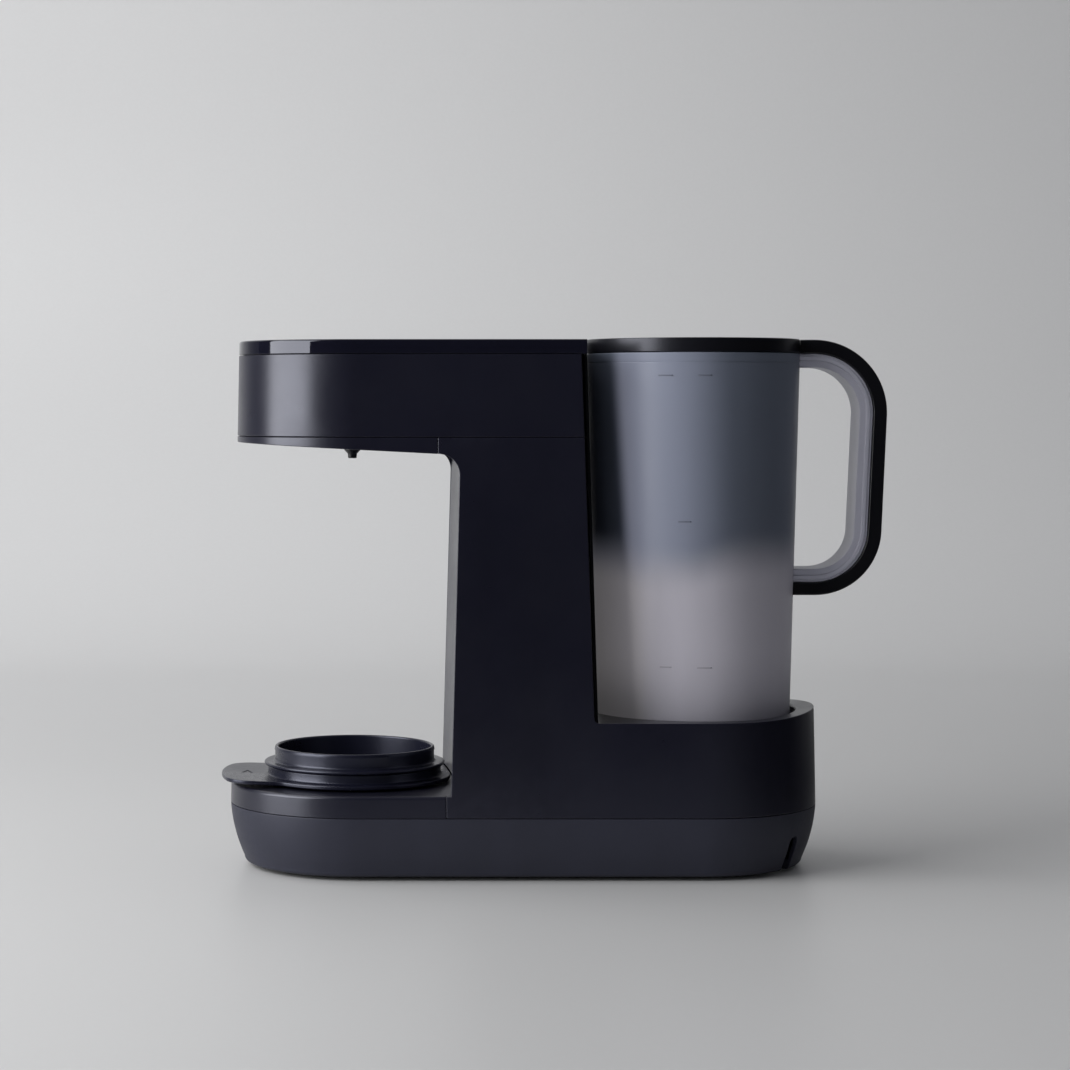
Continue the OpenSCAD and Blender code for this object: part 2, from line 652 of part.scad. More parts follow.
module column_frame() color("gray") difference() {
    union() {
        box([frame_x0, -50, ledge_z1 + 0.5], [frame_x1, 50, 224]);
        box([frame_x0, -41, plate_z1], [frame_x1, 41, 20]);
        for (y = [-41, 31]) box([frame_x0, y, plate_z1], [-4, y + 10, plate_z1 + 2.5]);
        for (y = [-49, 46.5]) box([frame_x0, y, 40], [-4, y + 2.5, 224]);
    }
    // Windows that lighten the frame, and the holes of its foot
    for (z = [60, 126, 192]) box([-40, -22, z], [-10, 22, z + 22]);
    box([-40, -27, 27], [-10, -15, 39]);
    for (side = [-1, 1]) translate([-11, side * 36, 0]) cylinder(r = screw_r + fit_gap, h = 20);
}
module frame_screws() color("silver") for (side = [-1, 1]) translate([-11, side * 36, 0]) {
    translate([0, 0, plate_z0 + 0.6]) cylinder(r = screw_r, h = 5);
    translate([0, 0, plate_z1 + 2.5]) cylinder(r = 2.8, h = 1.6);
}
module wire_harness() color("dimgray")
    hose([[-46, -21, board_z + 14], [-46, -21, 33], [-12, -21, 33], [-12, -40, 33], [-12, -40, 243],
        [-73, -40, 243], [-73, -6, 243]], 2, 0, 5);

/* ---- Jug ---- */
jug_z0 = well_floor_z + slide_gap;
jug_floor_t = 2.6;
jug_edge_r = 2.5;
jug_inner_edge_r = 3;
collar_z = 249;

// The handle's outline in side view, each side set in from the outermost one
handle_z0 = 134.4;
handle_top_z = lid_top_z - 0.3;
handle_lean = atan(0.0555);
handle_ref_z = 225;
module handle_region(in_top, in_side, in_low, r_top, r_low) {
    top = handle_top_z - in_top;
    low = handle_z0 + in_low;
    c_top = [side_centre(top - r_top, in_side + r_top), top - r_top];
    c_low = [side_centre(low + r_low, in_side + r_low), low + r_low];
    n = [cos(handle_lean), -sin(handle_lean)];
    polygon([[jug_x, low], [c_low[0], low], c_low + r_low * n, c_top + r_top * n,
        [c_top[0], top], [jug_x, top]]);
    translate(c_top) circle(r = r_top);
    translate(c_low) circle(r = r_low);
}
function side_centre(z, inset) =
    handle_x + ((z - handle_ref_z) * sin(handle_lean) - inset) / cos(handle_lean);
module handle_band(outer, inner, w) rotate([90, 0, 0]) linear_extrude(w, center = true) difference() {
    handle_region(outer[0], outer[1], outer[2], outer[3], outer[4]);
    handle_region(inner[0], inner[1], inner[2], inner[3], inner[4]);
}
grip_out = [0, 0, 0, 36, 33];
grip_in = [6.8, 6.8, 6.3, 29.2, 26.7];
loop_out = [6.9, 6.9, 6.4, 29.1, 26.6];
loop_in = [13.7, 13.5, 13, 22.3, 19.8];

module jug_outside(gap) at_jug() cylinder(r1 = jug_r(0) + gap, r2 = jug_r(300) + gap, h = 300);

module jug() color(frosted) {
    at_jug() rotate_extrude() polygon(concat(
        [[neck_r + 0.2, jug_z0]],
        arc(jug_r(jug_z0) - jug_edge_r, jug_z0 + jug_edge_r, jug_edge_r, -90, 0, 5),
        [[jug_r(collar_z), collar_z], [jug_r(collar_z) - 0.3, collar_z + 0.3],
        [jug_r(collar_z) - 0.3, collar_z + 0.6], [jug_r(collar_z), collar_z + 0.9],
        [jug_top_r - 0.4, jug_rim_z], [jug_top_r - jug_wall + 0.4, jug_rim_z]],
        arc(jug_r(jug_z0) - jug_wall - jug_inner_edge_r,
            jug_z0 + jug_floor_t + jug_inner_edge_r, jug_inner_edge_r, 0, -90, 5),
        [[neck_r + 0.2, jug_z0 + jug_floor_t]]));
    difference() {
        handle_band(loop_out, loop_in, grip_w - 2);
        jug_outside(-0.6);
    }
}

module handle_grip() color(black) difference() {
    handle_band(grip_out, grip_in, grip_w);
    jug_outside(0.1);
    at_jug() translate([0, 0, jug_rim_z - 1]) cylinder(r = lid_r + slide_gap, h = 30);
}

lid_z0 = jug_rim_z + slide_gap;
lid_edge_r = 0.9;
lid_lean = 0.5;      // how far the lid's side leans in on its way up
plug_r = 49.6;
plug_z0 = 247;
seal_z = 250.5;
module jug_lid() color(black) at_jug() difference() {
    rotate_extrude() polygon(concat(
        [[0, lid_z0 - 1], [plug_r - 2, lid_z0 - 1], [plug_r - 2, plug_z0], [plug_r, plug_z0],
        [plug_r, lid_z0], [lid_r - 0.3, lid_z0], [lid_r, lid_z0 + 0.3]],
        arc(lid_r - lid_lean - lid_edge_r, lid_top_z - lid_edge_r, lid_edge_r, 0, 90, 5),
        [[lid_r - 6, lid_top_z], [lid_r - 7, lid_top_z - 0.8], [0, lid_top_z - 0.8]]));
    translate([0, 0, seal_z - 1]) ring(plug_r + 1, plug_r - 1, 2);
    // Finger hollow beside the handle
    translate([46, 0, lid_top_z + 9]) sphere(r = 13);
}
module lid_seal() color("whitesmoke") at_jug() translate([0, 0, seal_z]) rotate_extrude()
    translate([plug_r - 0.15, 0]) circle(r = 0.75, $fn = 24);

/* ---- Jug valve ---- */
seat_z = 60;
disc_z = 64;
cage_top_z = 78;
cage_floor_z = jug_z0 + jug_floor_t;
module valve_cage() color(black) at_jug() difference() {
    union() {
        translate([0, 0, 55]) cylinder(r = neck_r, h = cage_floor_z - 55);
        translate([0, 0, cage_floor_z]) cylinder(r = 14, h = 2);
        translate([0, 0, cage_floor_z]) cylinder(r = 10, h = cage_top_z - cage_floor_z);
    }
    translate([0, 0, seat_z]) cylinder(r = 8.2, h = cage_top_z - 2 - seat_z);
    translate([0, 0, 50]) cylinder(r = 5.2, h = 20);
    cylinder(r = 1.6, h = far);
    for (i = [0:3]) rotate(90 * i) box([4, -3.5, cage_floor_z + 3], [12, 3.5, cage_top_z - 3]);
}
module valve_stem() color("white") at_jug() {
    translate([0, 0, 57.2]) cylinder(r = 2, h = disc_z - 57.2);
    translate([0, 0, disc_z]) cylinder(r = 7.2, h = 1.6);
    translate([0, 0, disc_z]) cylinder(r = 1.52, h = 16);
}
module valve_seal() color("tomato") at_jug() translate([0, 0, disc_z - 0.9]) ring(7, 2.05, 0.9);

spring_turns = 5;
spring_rings = 12;   // rings in each turn
spring_sides = 6;
spring_r = 5;
spring_wire_r = 0.45;
spring_z0 = disc_z + 1.6 + spring_wire_r;
spring_z1 = cage_top_z - 2 - spring_wire_r;
module valve_spring() color("silver") at_jug() {
    count = spring_turns * spring_rings;
    points = [for (i = [0:count]) let (a = 360 * i / spring_rings,
        z = spring_z0 + (spring_z1 - spring_z0) * i / count)
        for (k = [0:spring_sides - 1]) let (b = 360 * k / spring_sides, r = spring_r + spring_wire_r * cos(b))
            [r * cos(a), r * sin(a), z + spring_wire_r * sin(b)]];
    sides = [for (i = [0:count - 1], k = [0:spring_sides - 1])
        let (p = i * spring_sides + k, q = i * spring_sides + (k + 1) % spring_sides)
        for (t = [[p, q, q + spring_sides], [p, q + spring_sides, p + spring_sides]]) t];
    first_end = [for (k = [1:spring_sides - 2]) [0, k + 1, k]];
    last = count * spring_sides;
    last_end = [for (k = [1:spring_sides - 2]) [last, last + k, last + k + 1]];
    polyhedron(points, concat(sides, first_end, last_end));
}

/* ---- Bottle stands ---- */
stand_z0 = deck_z + slide_gap;
flange_z0 = 42.7;
flange_z1 = 44.6;
lower_cup_r = 43.1;
lower_cup_bore = 41.3;
lower_cup_z1 = 49.3;
upper_z0 = 49.6;
upper_z1 = 51.4;
cup_wall = 1.8;
tab_x = -166.3;
tab_end_r = 90;
tab_corner_r = 14;
waist_r = 12;
tab_rise = 2.2;      // upward slope of the tab, in degrees
tab_hinge_x = -31;   // where that slope starts, seen from the stands' axis

// Plan of the finger tab with its waist, seen about the stands' axis
module tab_plan() {
    reach = stand_x - tab_x;
    corner_y = tab_half_w - tab_corner_r;
    end_x = tab_end_r - reach;
    corner_x = end_x - sqrt(pow(tab_end_r - tab_corner_r, 2) - pow(corner_y, 2));
    waist_y = tab_half_w + waist_r;
    waist_x = -sqrt(pow(lower_flange_r + waist_r, 2) - pow(waist_y, 2));
    touch = lower_flange_r / (lower_flange_r + waist_r) * [waist_x, waist_y];
    end_y = tab_end_r * corner_y / (tab_end_r - tab_corner_r);
    intersection() {
        translate([end_x, 0]) circle(r = tab_end_r);
        polygon([[-reach - 1, -end_y], [0, -end_y], [0, end_y], [-reach - 1, end_y]]);
    }
    polygon([[corner_x, -tab_half_w], [waist_x, -tab_half_w], [waist_x, tab_half_w], [corner_x, tab_half_w]]);
    for (side = [-1, 1]) {
        translate([corner_x, side * corner_y]) circle(r = tab_corner_r);
        difference() {
            polygon([[waist_x, 0], [waist_x, side * waist_y], [touch[0], side * touch[1]], [0, 0]]);
            translate([waist_x, side * waist_y]) circle(r = waist_r);
        }
    }
}

module lower_stand() color(black) translate([stand_x, 0, 0]) difference() {
    union() {
        translate([0, 0, flange_z0]) cylinder(r = lower_flange_r, h = flange_z1 - flange_z0);
        translate([tab_hinge_x, 0, flange_z0]) rotate([0, tab_rise, 0]) translate([-tab_hinge_x, 0, 0])
            linear_extrude(flange_z1 - flange_z0) intersection() {
                tab_plan();
                translate([tab_hinge_x - far, -far / 2]) square(far);
            }
        translate([0, 0, flange_z0]) cylinder(r = lower_cup_r, h = lower_cup_z1 - flange_z0);
        translate([0, 0, stand_z0]) cylinder(r = 40, h = flange_z1 - stand_z0);
    }
    translate([0, 0, flange_z1]) cylinder(r = lower_cup_bore, h = 20);
    translate([0, 0, stand_z0 - 1]) cylinder(r = 37, h = 1.4);
    // Chevron that marks the tab
    for (side = [-1, 1]) translate([-57.5, side * 0.2, flange_z1 + 0.45]) rotate(side * 40)
        translate([-0.4, -0.5, 0]) cube([5, 1, 2]);
}

module upper_stand() color(black) translate([stand_x, 0, 0]) rotate_extrude() polygon(concat(
    [[0, flange_z1 + 0.5], [lower_cup_bore - slide_gap, flange_z1 + 0.5],
    [lower_cup_bore - slide_gap, upper_z0], [upper_flange_r - 0.4, upper_z0]],
    arc(upper_flange_r - 0.8, (upper_z0 + upper_z1) / 2, 0.8, -60, 90, 4),
    [[cup_r + 0.8, upper_z1], [cup_r, upper_z1 + 0.8]],
    arc(cup_r - cup_wall / 2, cup_rim_z - cup_wall / 2, cup_wall / 2, 0, 180, 6),
    [[cup_r - cup_wall, flange_z1 + 2.5], [0, flange_z1 + 2.5]]));

lower_shell();
bottom_plate();
rubber_feet();
base_screws();
cord_gland();
front_deck_cover();
body_shell();
column_front_panel();
column_rear_panel();
head_shell();
head_underside();
top_cover();
control_board();
cover_screws();
nozzle();
nozzle_holder();
outlet_hose();
heater_tube();
heater_caps();
heater_clips();
thermal_cutout();
temperature_probe();
feed_hose();
heater_hose();
suction_hose();
pump_housing();
pump_cover();
pump_impeller();
pump_motor();
pump_mount();
flow_meter();
flow_turbine();
dock_socket();
dock_seal();
well_liner();
power_board();
main_board();
column_frame();
frame_screws();
wire_harness();
jug();
handle_grip();
jug_lid();
lid_seal();
valve_cage();
valve_stem();
valve_spring();
valve_seal();
lower_stand();
upper_stand();
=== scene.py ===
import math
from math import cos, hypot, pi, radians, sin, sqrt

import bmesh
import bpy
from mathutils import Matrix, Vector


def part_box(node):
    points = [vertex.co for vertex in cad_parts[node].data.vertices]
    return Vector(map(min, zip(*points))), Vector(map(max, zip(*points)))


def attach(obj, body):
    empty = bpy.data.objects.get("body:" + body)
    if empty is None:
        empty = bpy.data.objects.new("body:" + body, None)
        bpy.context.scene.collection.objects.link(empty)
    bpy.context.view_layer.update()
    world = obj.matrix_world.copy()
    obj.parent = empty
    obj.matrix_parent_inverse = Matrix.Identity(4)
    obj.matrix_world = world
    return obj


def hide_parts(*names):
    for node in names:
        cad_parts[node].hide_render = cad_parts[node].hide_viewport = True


bl_info = {
    "name": "Bottle Water Dispenser",
    "version": (1, 0, 0),
    "blender": (4, 5, 0),
    "location": "3D View > Sidebar > Dispenser",
    "description": "Dresses a countertop water dispenser for baby bottles, and sets its studio",
    "category": "Object",
}

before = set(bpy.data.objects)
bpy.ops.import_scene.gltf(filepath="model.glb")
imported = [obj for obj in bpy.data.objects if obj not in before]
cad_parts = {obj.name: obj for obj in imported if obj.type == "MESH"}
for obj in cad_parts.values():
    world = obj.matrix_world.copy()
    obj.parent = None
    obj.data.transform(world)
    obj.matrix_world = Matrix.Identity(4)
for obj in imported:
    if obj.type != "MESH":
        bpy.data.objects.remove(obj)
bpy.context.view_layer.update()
MM = 0.001


def low(node):
    """Lowest corner of a CAD node, in millimetres."""
    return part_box(node)[0] / MM


def high(node):
    """Highest corner of a CAD node, in millimetres."""
    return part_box(node)[1] / MM


# ---- Places and sizes, in millimetres, read off the frame where a node's box gives them ----
JUG_X = (low("jug_lid").x + high("jug_lid").x) / 2
BAY_X = -100.4
REAR_AXIS_X = 68.2
STAND_X = (low("upper_stand").x + high("upper_stand").x) / 2
NOZZLE_X = (low("nozzle").x + high("nozzle").x) / 2
SEAM_Z = 31.2
HALF_SEAM = 0.15
SEAM_HALF_W = 61.3
DRAFT = 0.018
WALL = 2.5
DECK_Z = high("front_deck_cover").z
RIM_Z = 76.5
HEAD_Z = 213.2
COVER_Z = 253.2
TOP_Z = high("top_cover").z
FRONT_X = -49.8
FRONT_Z = 197.5
FRONT_LEAN = 0.0267
REAR_X = 8.5
REAR_LEAN = 0.0342
PANEL_X = 11.4
PANEL_LEAN = 0.0285
DECK_END_X = -56.4
UNDER_END_X = -60.2
COVER_END_X = high("top_cover").x
FILLET_R = 10.0
REAR_FILLET_R = 2.5
PANEL_DIP = 3.2
PANEL_R = 530.0
PANEL_T = 2.4
WELL_R = 50.5
WELL_FLOOR_Z = 62.0
LINER_T = 2.1
RIM_T = 1.5
RISE_X = 90.0
RISE_R = 259.0
TIP_X = -159.0
TIP_Z = 210.2
UNDER_SLOPE = 0.0506
JUG_TOP_R = 53.0
JUG_TAPER = 0.0289
JUG_WALL = 2.4
JUG_RIM_Z = 254.1
JUG_FLOOR_Z = WELL_FLOOR_Z + 0.3
LID_R = (high("jug_lid").x - low("jug_lid").x) / 2
LID_TOP_Z = high("jug_lid").z
LID_LAP = 0.9
FAR = 400.0
ARC_STEPS = 56


def half_w(z):
    """Half-width of the body at some height."""
    return SEAM_HALF_W - DRAFT * (z - SEAM_Z)


def front_x(z):
    """Front edge of the column's flanks."""
    return FRONT_X - FRONT_LEAN * (FRONT_Z - z)


def rear_x(z):
    """Rear edge of the column's flanks."""
    return REAR_X + REAR_LEAN * (COVER_Z - z)


def panel_x(z):
    """Rear face of the column's rear panel."""
    return PANEL_X + PANEL_LEAN * (COVER_Z - z)


def hollow_x(y, z):
    """Front of the column's hollow front panel."""
    return front_x(z) + PANEL_DIP - PANEL_R + sqrt(PANEL_R ** 2 - y * y)


def under_z(x):
    """Height of the head's sloping underside."""
    return TIP_Z - UNDER_SLOPE * (x - TIP_X)


def rim_top(x):
    """Top of the well's rim, which rises towards the handle."""
    return RIM_Z + RISE_R - sqrt(RISE_R ** 2 - max(0.0, x - RISE_X) ** 2)


def jug_r(z):
    """Outer radius of the jug at some height."""
    return JUG_TOP_R - JUG_TAPER * (JUG_RIM_Z - z)


def tone(red, green, blue):
    """A display colour, 0 to 255, as the linear colour that a shader takes."""
    def linear(value):
        v = value / 255
        return v / 12.92 if v <= 0.04045 else ((v + 0.055) / 1.055) ** 2.4
    return (linear(red), linear(green), linear(blue))


# ---- Sizes and colours that a user would change ----
class DispenserSizes(bpy.types.PropertyGroup):
    edge: bpy.props.FloatProperty(
        name="Edge Round", description="Radius of the small rounding on moulded edges",
        default=0.35 * MM, min=0.1 * MM, max=0.8 * MM, unit="LENGTH")
    cover_edge: bpy.props.FloatProperty(
        name="Cover Edge", description="Radius of the rounding round the glossy top cover",
        default=1.2 * MM, min=0.4 * MM, max=1.8 * MM, unit="LENGTH")
    deck_edge: bpy.props.FloatProperty(
        name="Deck Edge", description="Radius of the rounding round the deck under the bottle",
        default=1.6 * MM, min=0.4 * MM, max=2.0 * MM, unit="LENGTH")
    grip_edge: bpy.props.FloatProperty(
        name="Grip Edge", description="Radius of the rounding on the handle's dark grip",
        default=0.8 * MM, min=0.4 * MM, max=2.5 * MM, unit="LENGTH")
    water_line: bpy.props.FloatProperty(
        name="Water Line", description="Height at which the jug's wall changes tone",
        default=157 * MM, min=80 * MM, max=240 * MM, unit="LENGTH")


class DispenserColours(bpy.types.PropertyGroup):
    body: bpy.props.FloatVectorProperty(
        name="Body", description="Colour of the column and the head", subtype="COLOR",
        size=3, min=0, max=1, default=tone(19, 19, 32))
    base: bpy.props.FloatVectorProperty(
        name="Base", description="Colour of the base shell", subtype="COLOR",
        size=3, min=0, max=1, default=tone(37, 38, 50))
    gloss: bpy.props.FloatVectorProperty(
        name="Top Cover", description="Colour of the glossy top cover", subtype="COLOR",
        size=3, min=0, max=1, default=tone(16, 16, 27))
    stand: bpy.props.FloatVectorProperty(
        name="Stands", description="Colour of the bottle stands", subtype="COLOR",
        size=3, min=0, max=1, default=tone(20, 21, 34))
    trim: bpy.props.FloatVectorProperty(
        name="Trim", description="Colour of the lid, the grip and the rear panel", subtype="COLOR",
        size=3, min=0, max=1, default=tone(14, 14, 20))
    jug_dry: bpy.props.FloatVectorProperty(
        name="Jug Above Water", description="Tone of the jug's wall above the water line",
        subtype="COLOR", size=3, min=0, max=1, default=tone(113, 120, 136))
    jug_wet: bpy.props.FloatVectorProperty(
        name="Jug Below Water", description="Tone of the jug's wall below the water line",
        subtype="COLOR", size=3, min=0, max=1, default=tone(206, 203, 213))


def sizes():
    """The sizes that the scene holds, in metres."""
    return bpy.context.scene.dispenser_sizes


def colours():
    """The colours that the scene holds."""
    return bpy.context.scene.dispenser_colours


# ---- Outlines ----
def arc(cx, cy, r, start, end, steps):
    """Points on an arc, angles in degrees."""
    turn = [radians(start + (end - start) * i / steps) for i in range(steps + 1)]
    return [(cx + r * cos(a), cy + r * sin(a)) for a in turn]


def capsule(half):
    """The body's whole plan: round ends about the bay's and the rear end's axes."""
    return arc(REAR_AXIS_X, 0, half, -90, 90, ARC_STEPS) + arc(BAY_X, 0, half, 90, 270, ARC_STEPS)


def front_plan(end_x):
    """The body's plan in front of a line across it."""
    return lambda half: arc(BAY_X, 0, half, 90, 270, ARC_STEPS) + [(end_x, -half), (end_x, half)]


def rear_plan(start_x):
    """The body's plan behind a line across it."""
    return lambda half: arc(REAR_AXIS_X, 0, half, -90, 90, ARC_STEPS) + [(start_x, half), (start_x, -half)]


def block_plan(x0, x1):
    """A plain length of the body between two lines across it."""
    return lambda half: [(x0, -half), (x1, -half), (x1, half), (x0, half)]


def rounded_top(z0, z1, r, inset=0.0, steps=5):
    """Levels (half-width, height) of a drafted wall whose upper edge is rounded."""
    top = arc(half_w(z1 - r) - inset - r, z1 - r, r, 0, 90, steps)
    return [(half_w(z0) - inset, z0)] + top


def straight(z0, z1, inset=0.0):
    """The two levels (half-width, height) of a drafted wall."""
    return [(half_w(z0) - inset, z0), (half_w(z1) - inset, z1)]


# ---- Meshes ----
def new_piece(name, verts, faces):
    """A linked object from corners in millimetres, with its faces turned outwards."""
    mesh = bpy.data.meshes.new(name)
    mesh.from_pydata([Vector(v) * MM for v in verts], [], faces)
    mesh.validate()
    built = bmesh.new()
    built.from_mesh(mesh)
    bmesh.ops.remove_doubles(built, verts=built.verts, dist=1e-7)
    bmesh.ops.recalc_face_normals(built, faces=built.faces)
    built.to_mesh(mesh)
    built.free()
    piece = bpy.data.objects.new(name, mesh)
    bpy.context.scene.collection.objects.link(piece)
    return piece


def stack(name, plan, levels):
    """Closed solid through one plan outline at each level (half-width, height)."""
    rings = [[(x, y, z) for x, y in plan(half)] for half, z in levels]
    count = len(rings[0])
    verts = [v for ring in rings for v in ring]
    faces = [tuple(range(count)), tuple(range((len(rings) - 1) * count, len(rings) * count))]
    for k in range(len(rings) - 1):
        for i in range(count):
            j = (i + 1) % count
            faces.append((k * count + i, k * count + j, (k + 1) * count + j, (k + 1) * count + i))
    return new_piece(name, verts, faces)


def lathe(name, profile, centre=(0.0, 0.0), steps=128):
    """Solid turned about a vertical axis; the profile is a closed outline of (radius, height)."""
    count = len(profile)
    verts = []
    for i in range(steps):
        a = 2 * pi * i / steps
        verts += [(centre[0] + r * cos(a), centre[1] + r * sin(a), z) for r, z in profile]
    faces = []
    for i in range(steps):
        j = (i + 1) % steps
        for k in range(count):
            m = (k + 1) % count
            corners = (i * count + k, j * count + k, j * count + m, i * count + m)
            if profile[k][0] < 1e-6 and profile[m][0] < 1e-6:
                continue
            if profile[k][0] < 1e-6:
                corners = (corners[0], corners[2], corners[3])
            elif profile[m][0] < 1e-6:
                corners = corners[:3]
            faces.append(corners)
    return new_piece(name, verts, faces)


def prism(name, first, second):
    """Closed solid between two outlines that have the same number of points."""
    count = len(first)
    faces = [tuple(range(count)), tuple(range(count, 2 * count))]
    faces += [(i, (i + 1) % count, count + (i + 1) % count, count + i) for i in range(count)]
    return new_piece(name, first + second, faces)


def side_slab(name, outline, width=FAR):
    """A side view outline of (x, z) points, made into a slab across the body."""
    return prism(name, [(x, -width / 2, z) for x, z in outline], [(x, width / 2, z) for x, z in outline])


def plan_slab(name, outline, z0, z1):
    """A plan outline of (x, y) points, made into a slab."""
    return stack(name, lambda half: outline, [(0, z0), (0, z1)])


def combine(piece, other, operation):
    """Joins, cuts or keeps the common part of two solids, then drops the second."""
    step = piece.modifiers.new(operation.title(), "BOOLEAN")
    step.operation = operation
    step.solver = "EXACT"
    step.object = other
    bake(piece)
    bpy.data.meshes.remove(other.data)
    tidy(piece)
    return piece


def bake(piece):
    """Makes the shape that the piece's modifiers give its own mesh."""
    graph = bpy.context.evaluated_depsgraph_get()
    mesh = bpy.data.meshes.new_from_object(piece.evaluated_get(graph))
    piece.modifiers.clear()
    old = piece.data
    piece.data = mesh
    bpy.data.meshes.remove(old)


def tidy(piece):
    """Drops the doubled corners and the edges of no length that a cut can leave."""
    built = bmesh.new()
    built.from_mesh(piece.data)
    bmesh.ops.remove_doubles(built, verts=built.verts, dist=2e-6)
    bmesh.ops.dissolve_degenerate(built, edges=built.edges, dist=2e-6)
    built.to_mesh(piece.data)
    built.free()


def cut(piece, other):
    return combine(piece, other, "DIFFERENCE")


def join(piece, other):
    return combine(piece, other, "UNION")


def keep(piece, other):
    return combine(piece, other, "INTERSECT")


def soften(piece, width=None, segments=3, limit=32):
    """Rounds the piece's edges and evens its shading."""
    if width != 0:
        bevel = piece.modifiers.new("Edge Round", "BEVEL")
        bevel.width = width or sizes().edge
        bevel.segments = segments
        bevel.limit_method = "ANGLE"
        bevel.angle_limit = radians(limit)
        bevel.use_clamp_overlap = False
        bevel.miter_outer = "MITER_ARC"
    for face in piece.data.polygons:
        face.use_smooth = True
    even = piece.modifiers.new("Even Shading", "WEIGHTED_NORMAL")
    even.keep_sharp = True
    even.weight = 60


def dress(piece, body, material, slot, *nodes):
    """Gives a finished piece its material and its body, and hides the nodes it stands for; the slot is not
    used.
    """
    piece.data.materials.clear()
    piece.data.materials.append(material)
    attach(piece, body)
    if nodes:
        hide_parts(*nodes)


# ---- Node building ----
def add(nodes, kind, label, **values):
    node = nodes.new(kind)
    node.label = label
    for key, value in values.items():
        setattr(node, key, value)
    return node


def start_group(name, inputs, outputs):
    group = bpy.data.node_groups.new(name, "ShaderNodeTree")
    for label, kind, value in inputs:
        socket = group.interface.new_socket(name=label, in_out="INPUT", socket_type=kind)
        if value is not None:
            socket.default_value = value
    for label, kind in outputs:
        group.interface.new_socket(name=label, in_out="OUTPUT", socket_type=kind)
    start = add(group.nodes, "NodeGroupInput", "Inputs")
    end = add(group.nodes, "NodeGroupOutput", "Outputs")
    return group, start, end


def feed(group, socket, value):
    """Links a socket to another node's output, or sets a number or a colour on it."""
    if hasattr(value, "is_output"):
        group.links.new(value, socket)
    elif isinstance(value, (int, float)):
        socket.default_value = value
    else:
        socket.default_value = (*value[:3], 1)


def noise(group, vector, scale, detail, label, stretch=None):
    source = vector
    if stretch:
        mapping = add(group.nodes, "ShaderNodeMapping", label + " Stretch")
        mapping.inputs["Scale"].default_value = stretch
        group.links.new(vector, mapping.inputs["Vector"])
        source = mapping.outputs["Vector"]
    node = add(group.nodes, "ShaderNodeTexNoise", label)
    node.inputs["Detail"].default_value = detail
    node.inputs["Roughness"].default_value = 0.55
    feed(group, node.inputs["Scale"], scale)
    group.links.new(source, node.inputs["Vector"])
    return node.outputs["Fac"]


def calc(group, operation, a, b, label, clamp=False):
    node = add(group.nodes, "ShaderNodeMath", label, operation=operation)
    node.use_clamp = clamp
    feed(group, node.inputs[0], a)
    feed(group, node.inputs[1], b)
    return node.outputs["Value"]


def scale_add(group, value, factor, offset, label):
    """value * factor + offset"""
    result = calc(group, "MULTIPLY_ADD", value, factor, label)
    feed(group, result.node.inputs[2], offset)
    return result


def blend_colours(group, factor, first, second, label):
    node = add(group.nodes, "ShaderNodeMix", label, data_type="RGBA", blend_type="MIX")
    for index, value in ((0, factor), (6, first), (7, second)):
        feed(group, node.inputs[index], value)
    return node.outputs[2]


def spread(group, value, from_low, from_high, to_low, to_high, label):
    """Smooth ramp of a value between two limits."""
    node = add(group.nodes, "ShaderNodeMapRange", label, interpolation_type="SMOOTHSTEP")
    for name, limit in (("From Min", from_low), ("From Max", from_high), ("To Min", to_low),
                        ("To Max", to_high), ("Value", value)):
        feed(group, node.inputs[name], limit)
    return node.outputs["Result"]


def moulded_grain():
    """Fine spark-eroded grain of a moulding, with slow drifts in its sheen."""
    if "Moulded Grain" in bpy.data.node_groups:
        return bpy.data.node_groups["Moulded Grain"]
    group, start, end = start_group(
        "Moulded Grain",
        [("Vector", "NodeSocketVector", None), ("Grain Scale", "NodeSocketFloat", 2600.0),
         ("Smoothest", "NodeSocketFloat", 0.3), ("Roughest", "NodeSocketFloat", 0.4)],
        [("Roughness", "NodeSocketFloat"), ("Height", "NodeSocketFloat")])
    vector = start.outputs["Vector"]
    grain = noise(group, vector, start.outputs["Grain Scale"], 3.0, "Grain")
    drift = noise(group, vector, 24.0, 3.0, "Sheen Drift")
    speck = noise(group, vector, 420.0, 2.0, "Sheen Speck")
    mixed = scale_add(group, speck, 0.35, drift, "Add Speck")
    result = spread(group, mixed, 0.35, 1.0, start.outputs["Smoothest"], start.outputs["Roughest"],
                    "Sheen")
    group.links.new(result, end.inputs["Roughness"])
    group.links.new(grain, end.inputs["Height"])
    return group


def tone_drift():
    """Slight change of a pigment's tone over a part, with flow lines from the mould."""
    if "Tone Drift" in bpy.data.node_groups:
        return bpy.data.node_groups["Tone Drift"]
    group, start, end = start_group(
        "Tone Drift",
        [("Vector", "NodeSocketVector", None), ("Colour", "NodeSocketColor", (0.5, 0.5, 0.5, 1)),
         ("Amount", "NodeSocketFloat", 0.2)],
        [("Colour", "NodeSocketColor")])
    vector = start.outputs["Vector"]
    cloud = noise(group, vector, 9.0, 3.0, "Cloud")
    flow = noise(group, vector, 40.0, 2.0, "Flow", stretch=(1.0, 1.0, 0.12))
    both = calc(group, "ADD", cloud, flow, "Both")
    level = spread(group, both, 0.6, 1.4, -1.0, 1.0, "Level")
    amount = calc(group, "MULTIPLY", level, start.outputs["Amount"], "Scaled")
    gain = calc(group, "ADD", amount, 1.0, "Gain")
    scaled = add(group.nodes, "ShaderNodeVectorMath", "Shade", operation="SCALE")
    group.links.new(start.outputs["Colour"], scaled.inputs[0])
    group.links.new(gain, scaled.inputs["Scale"])
    group.links.new(scaled.outputs["Vector"], end.inputs["Colour"])
    return group


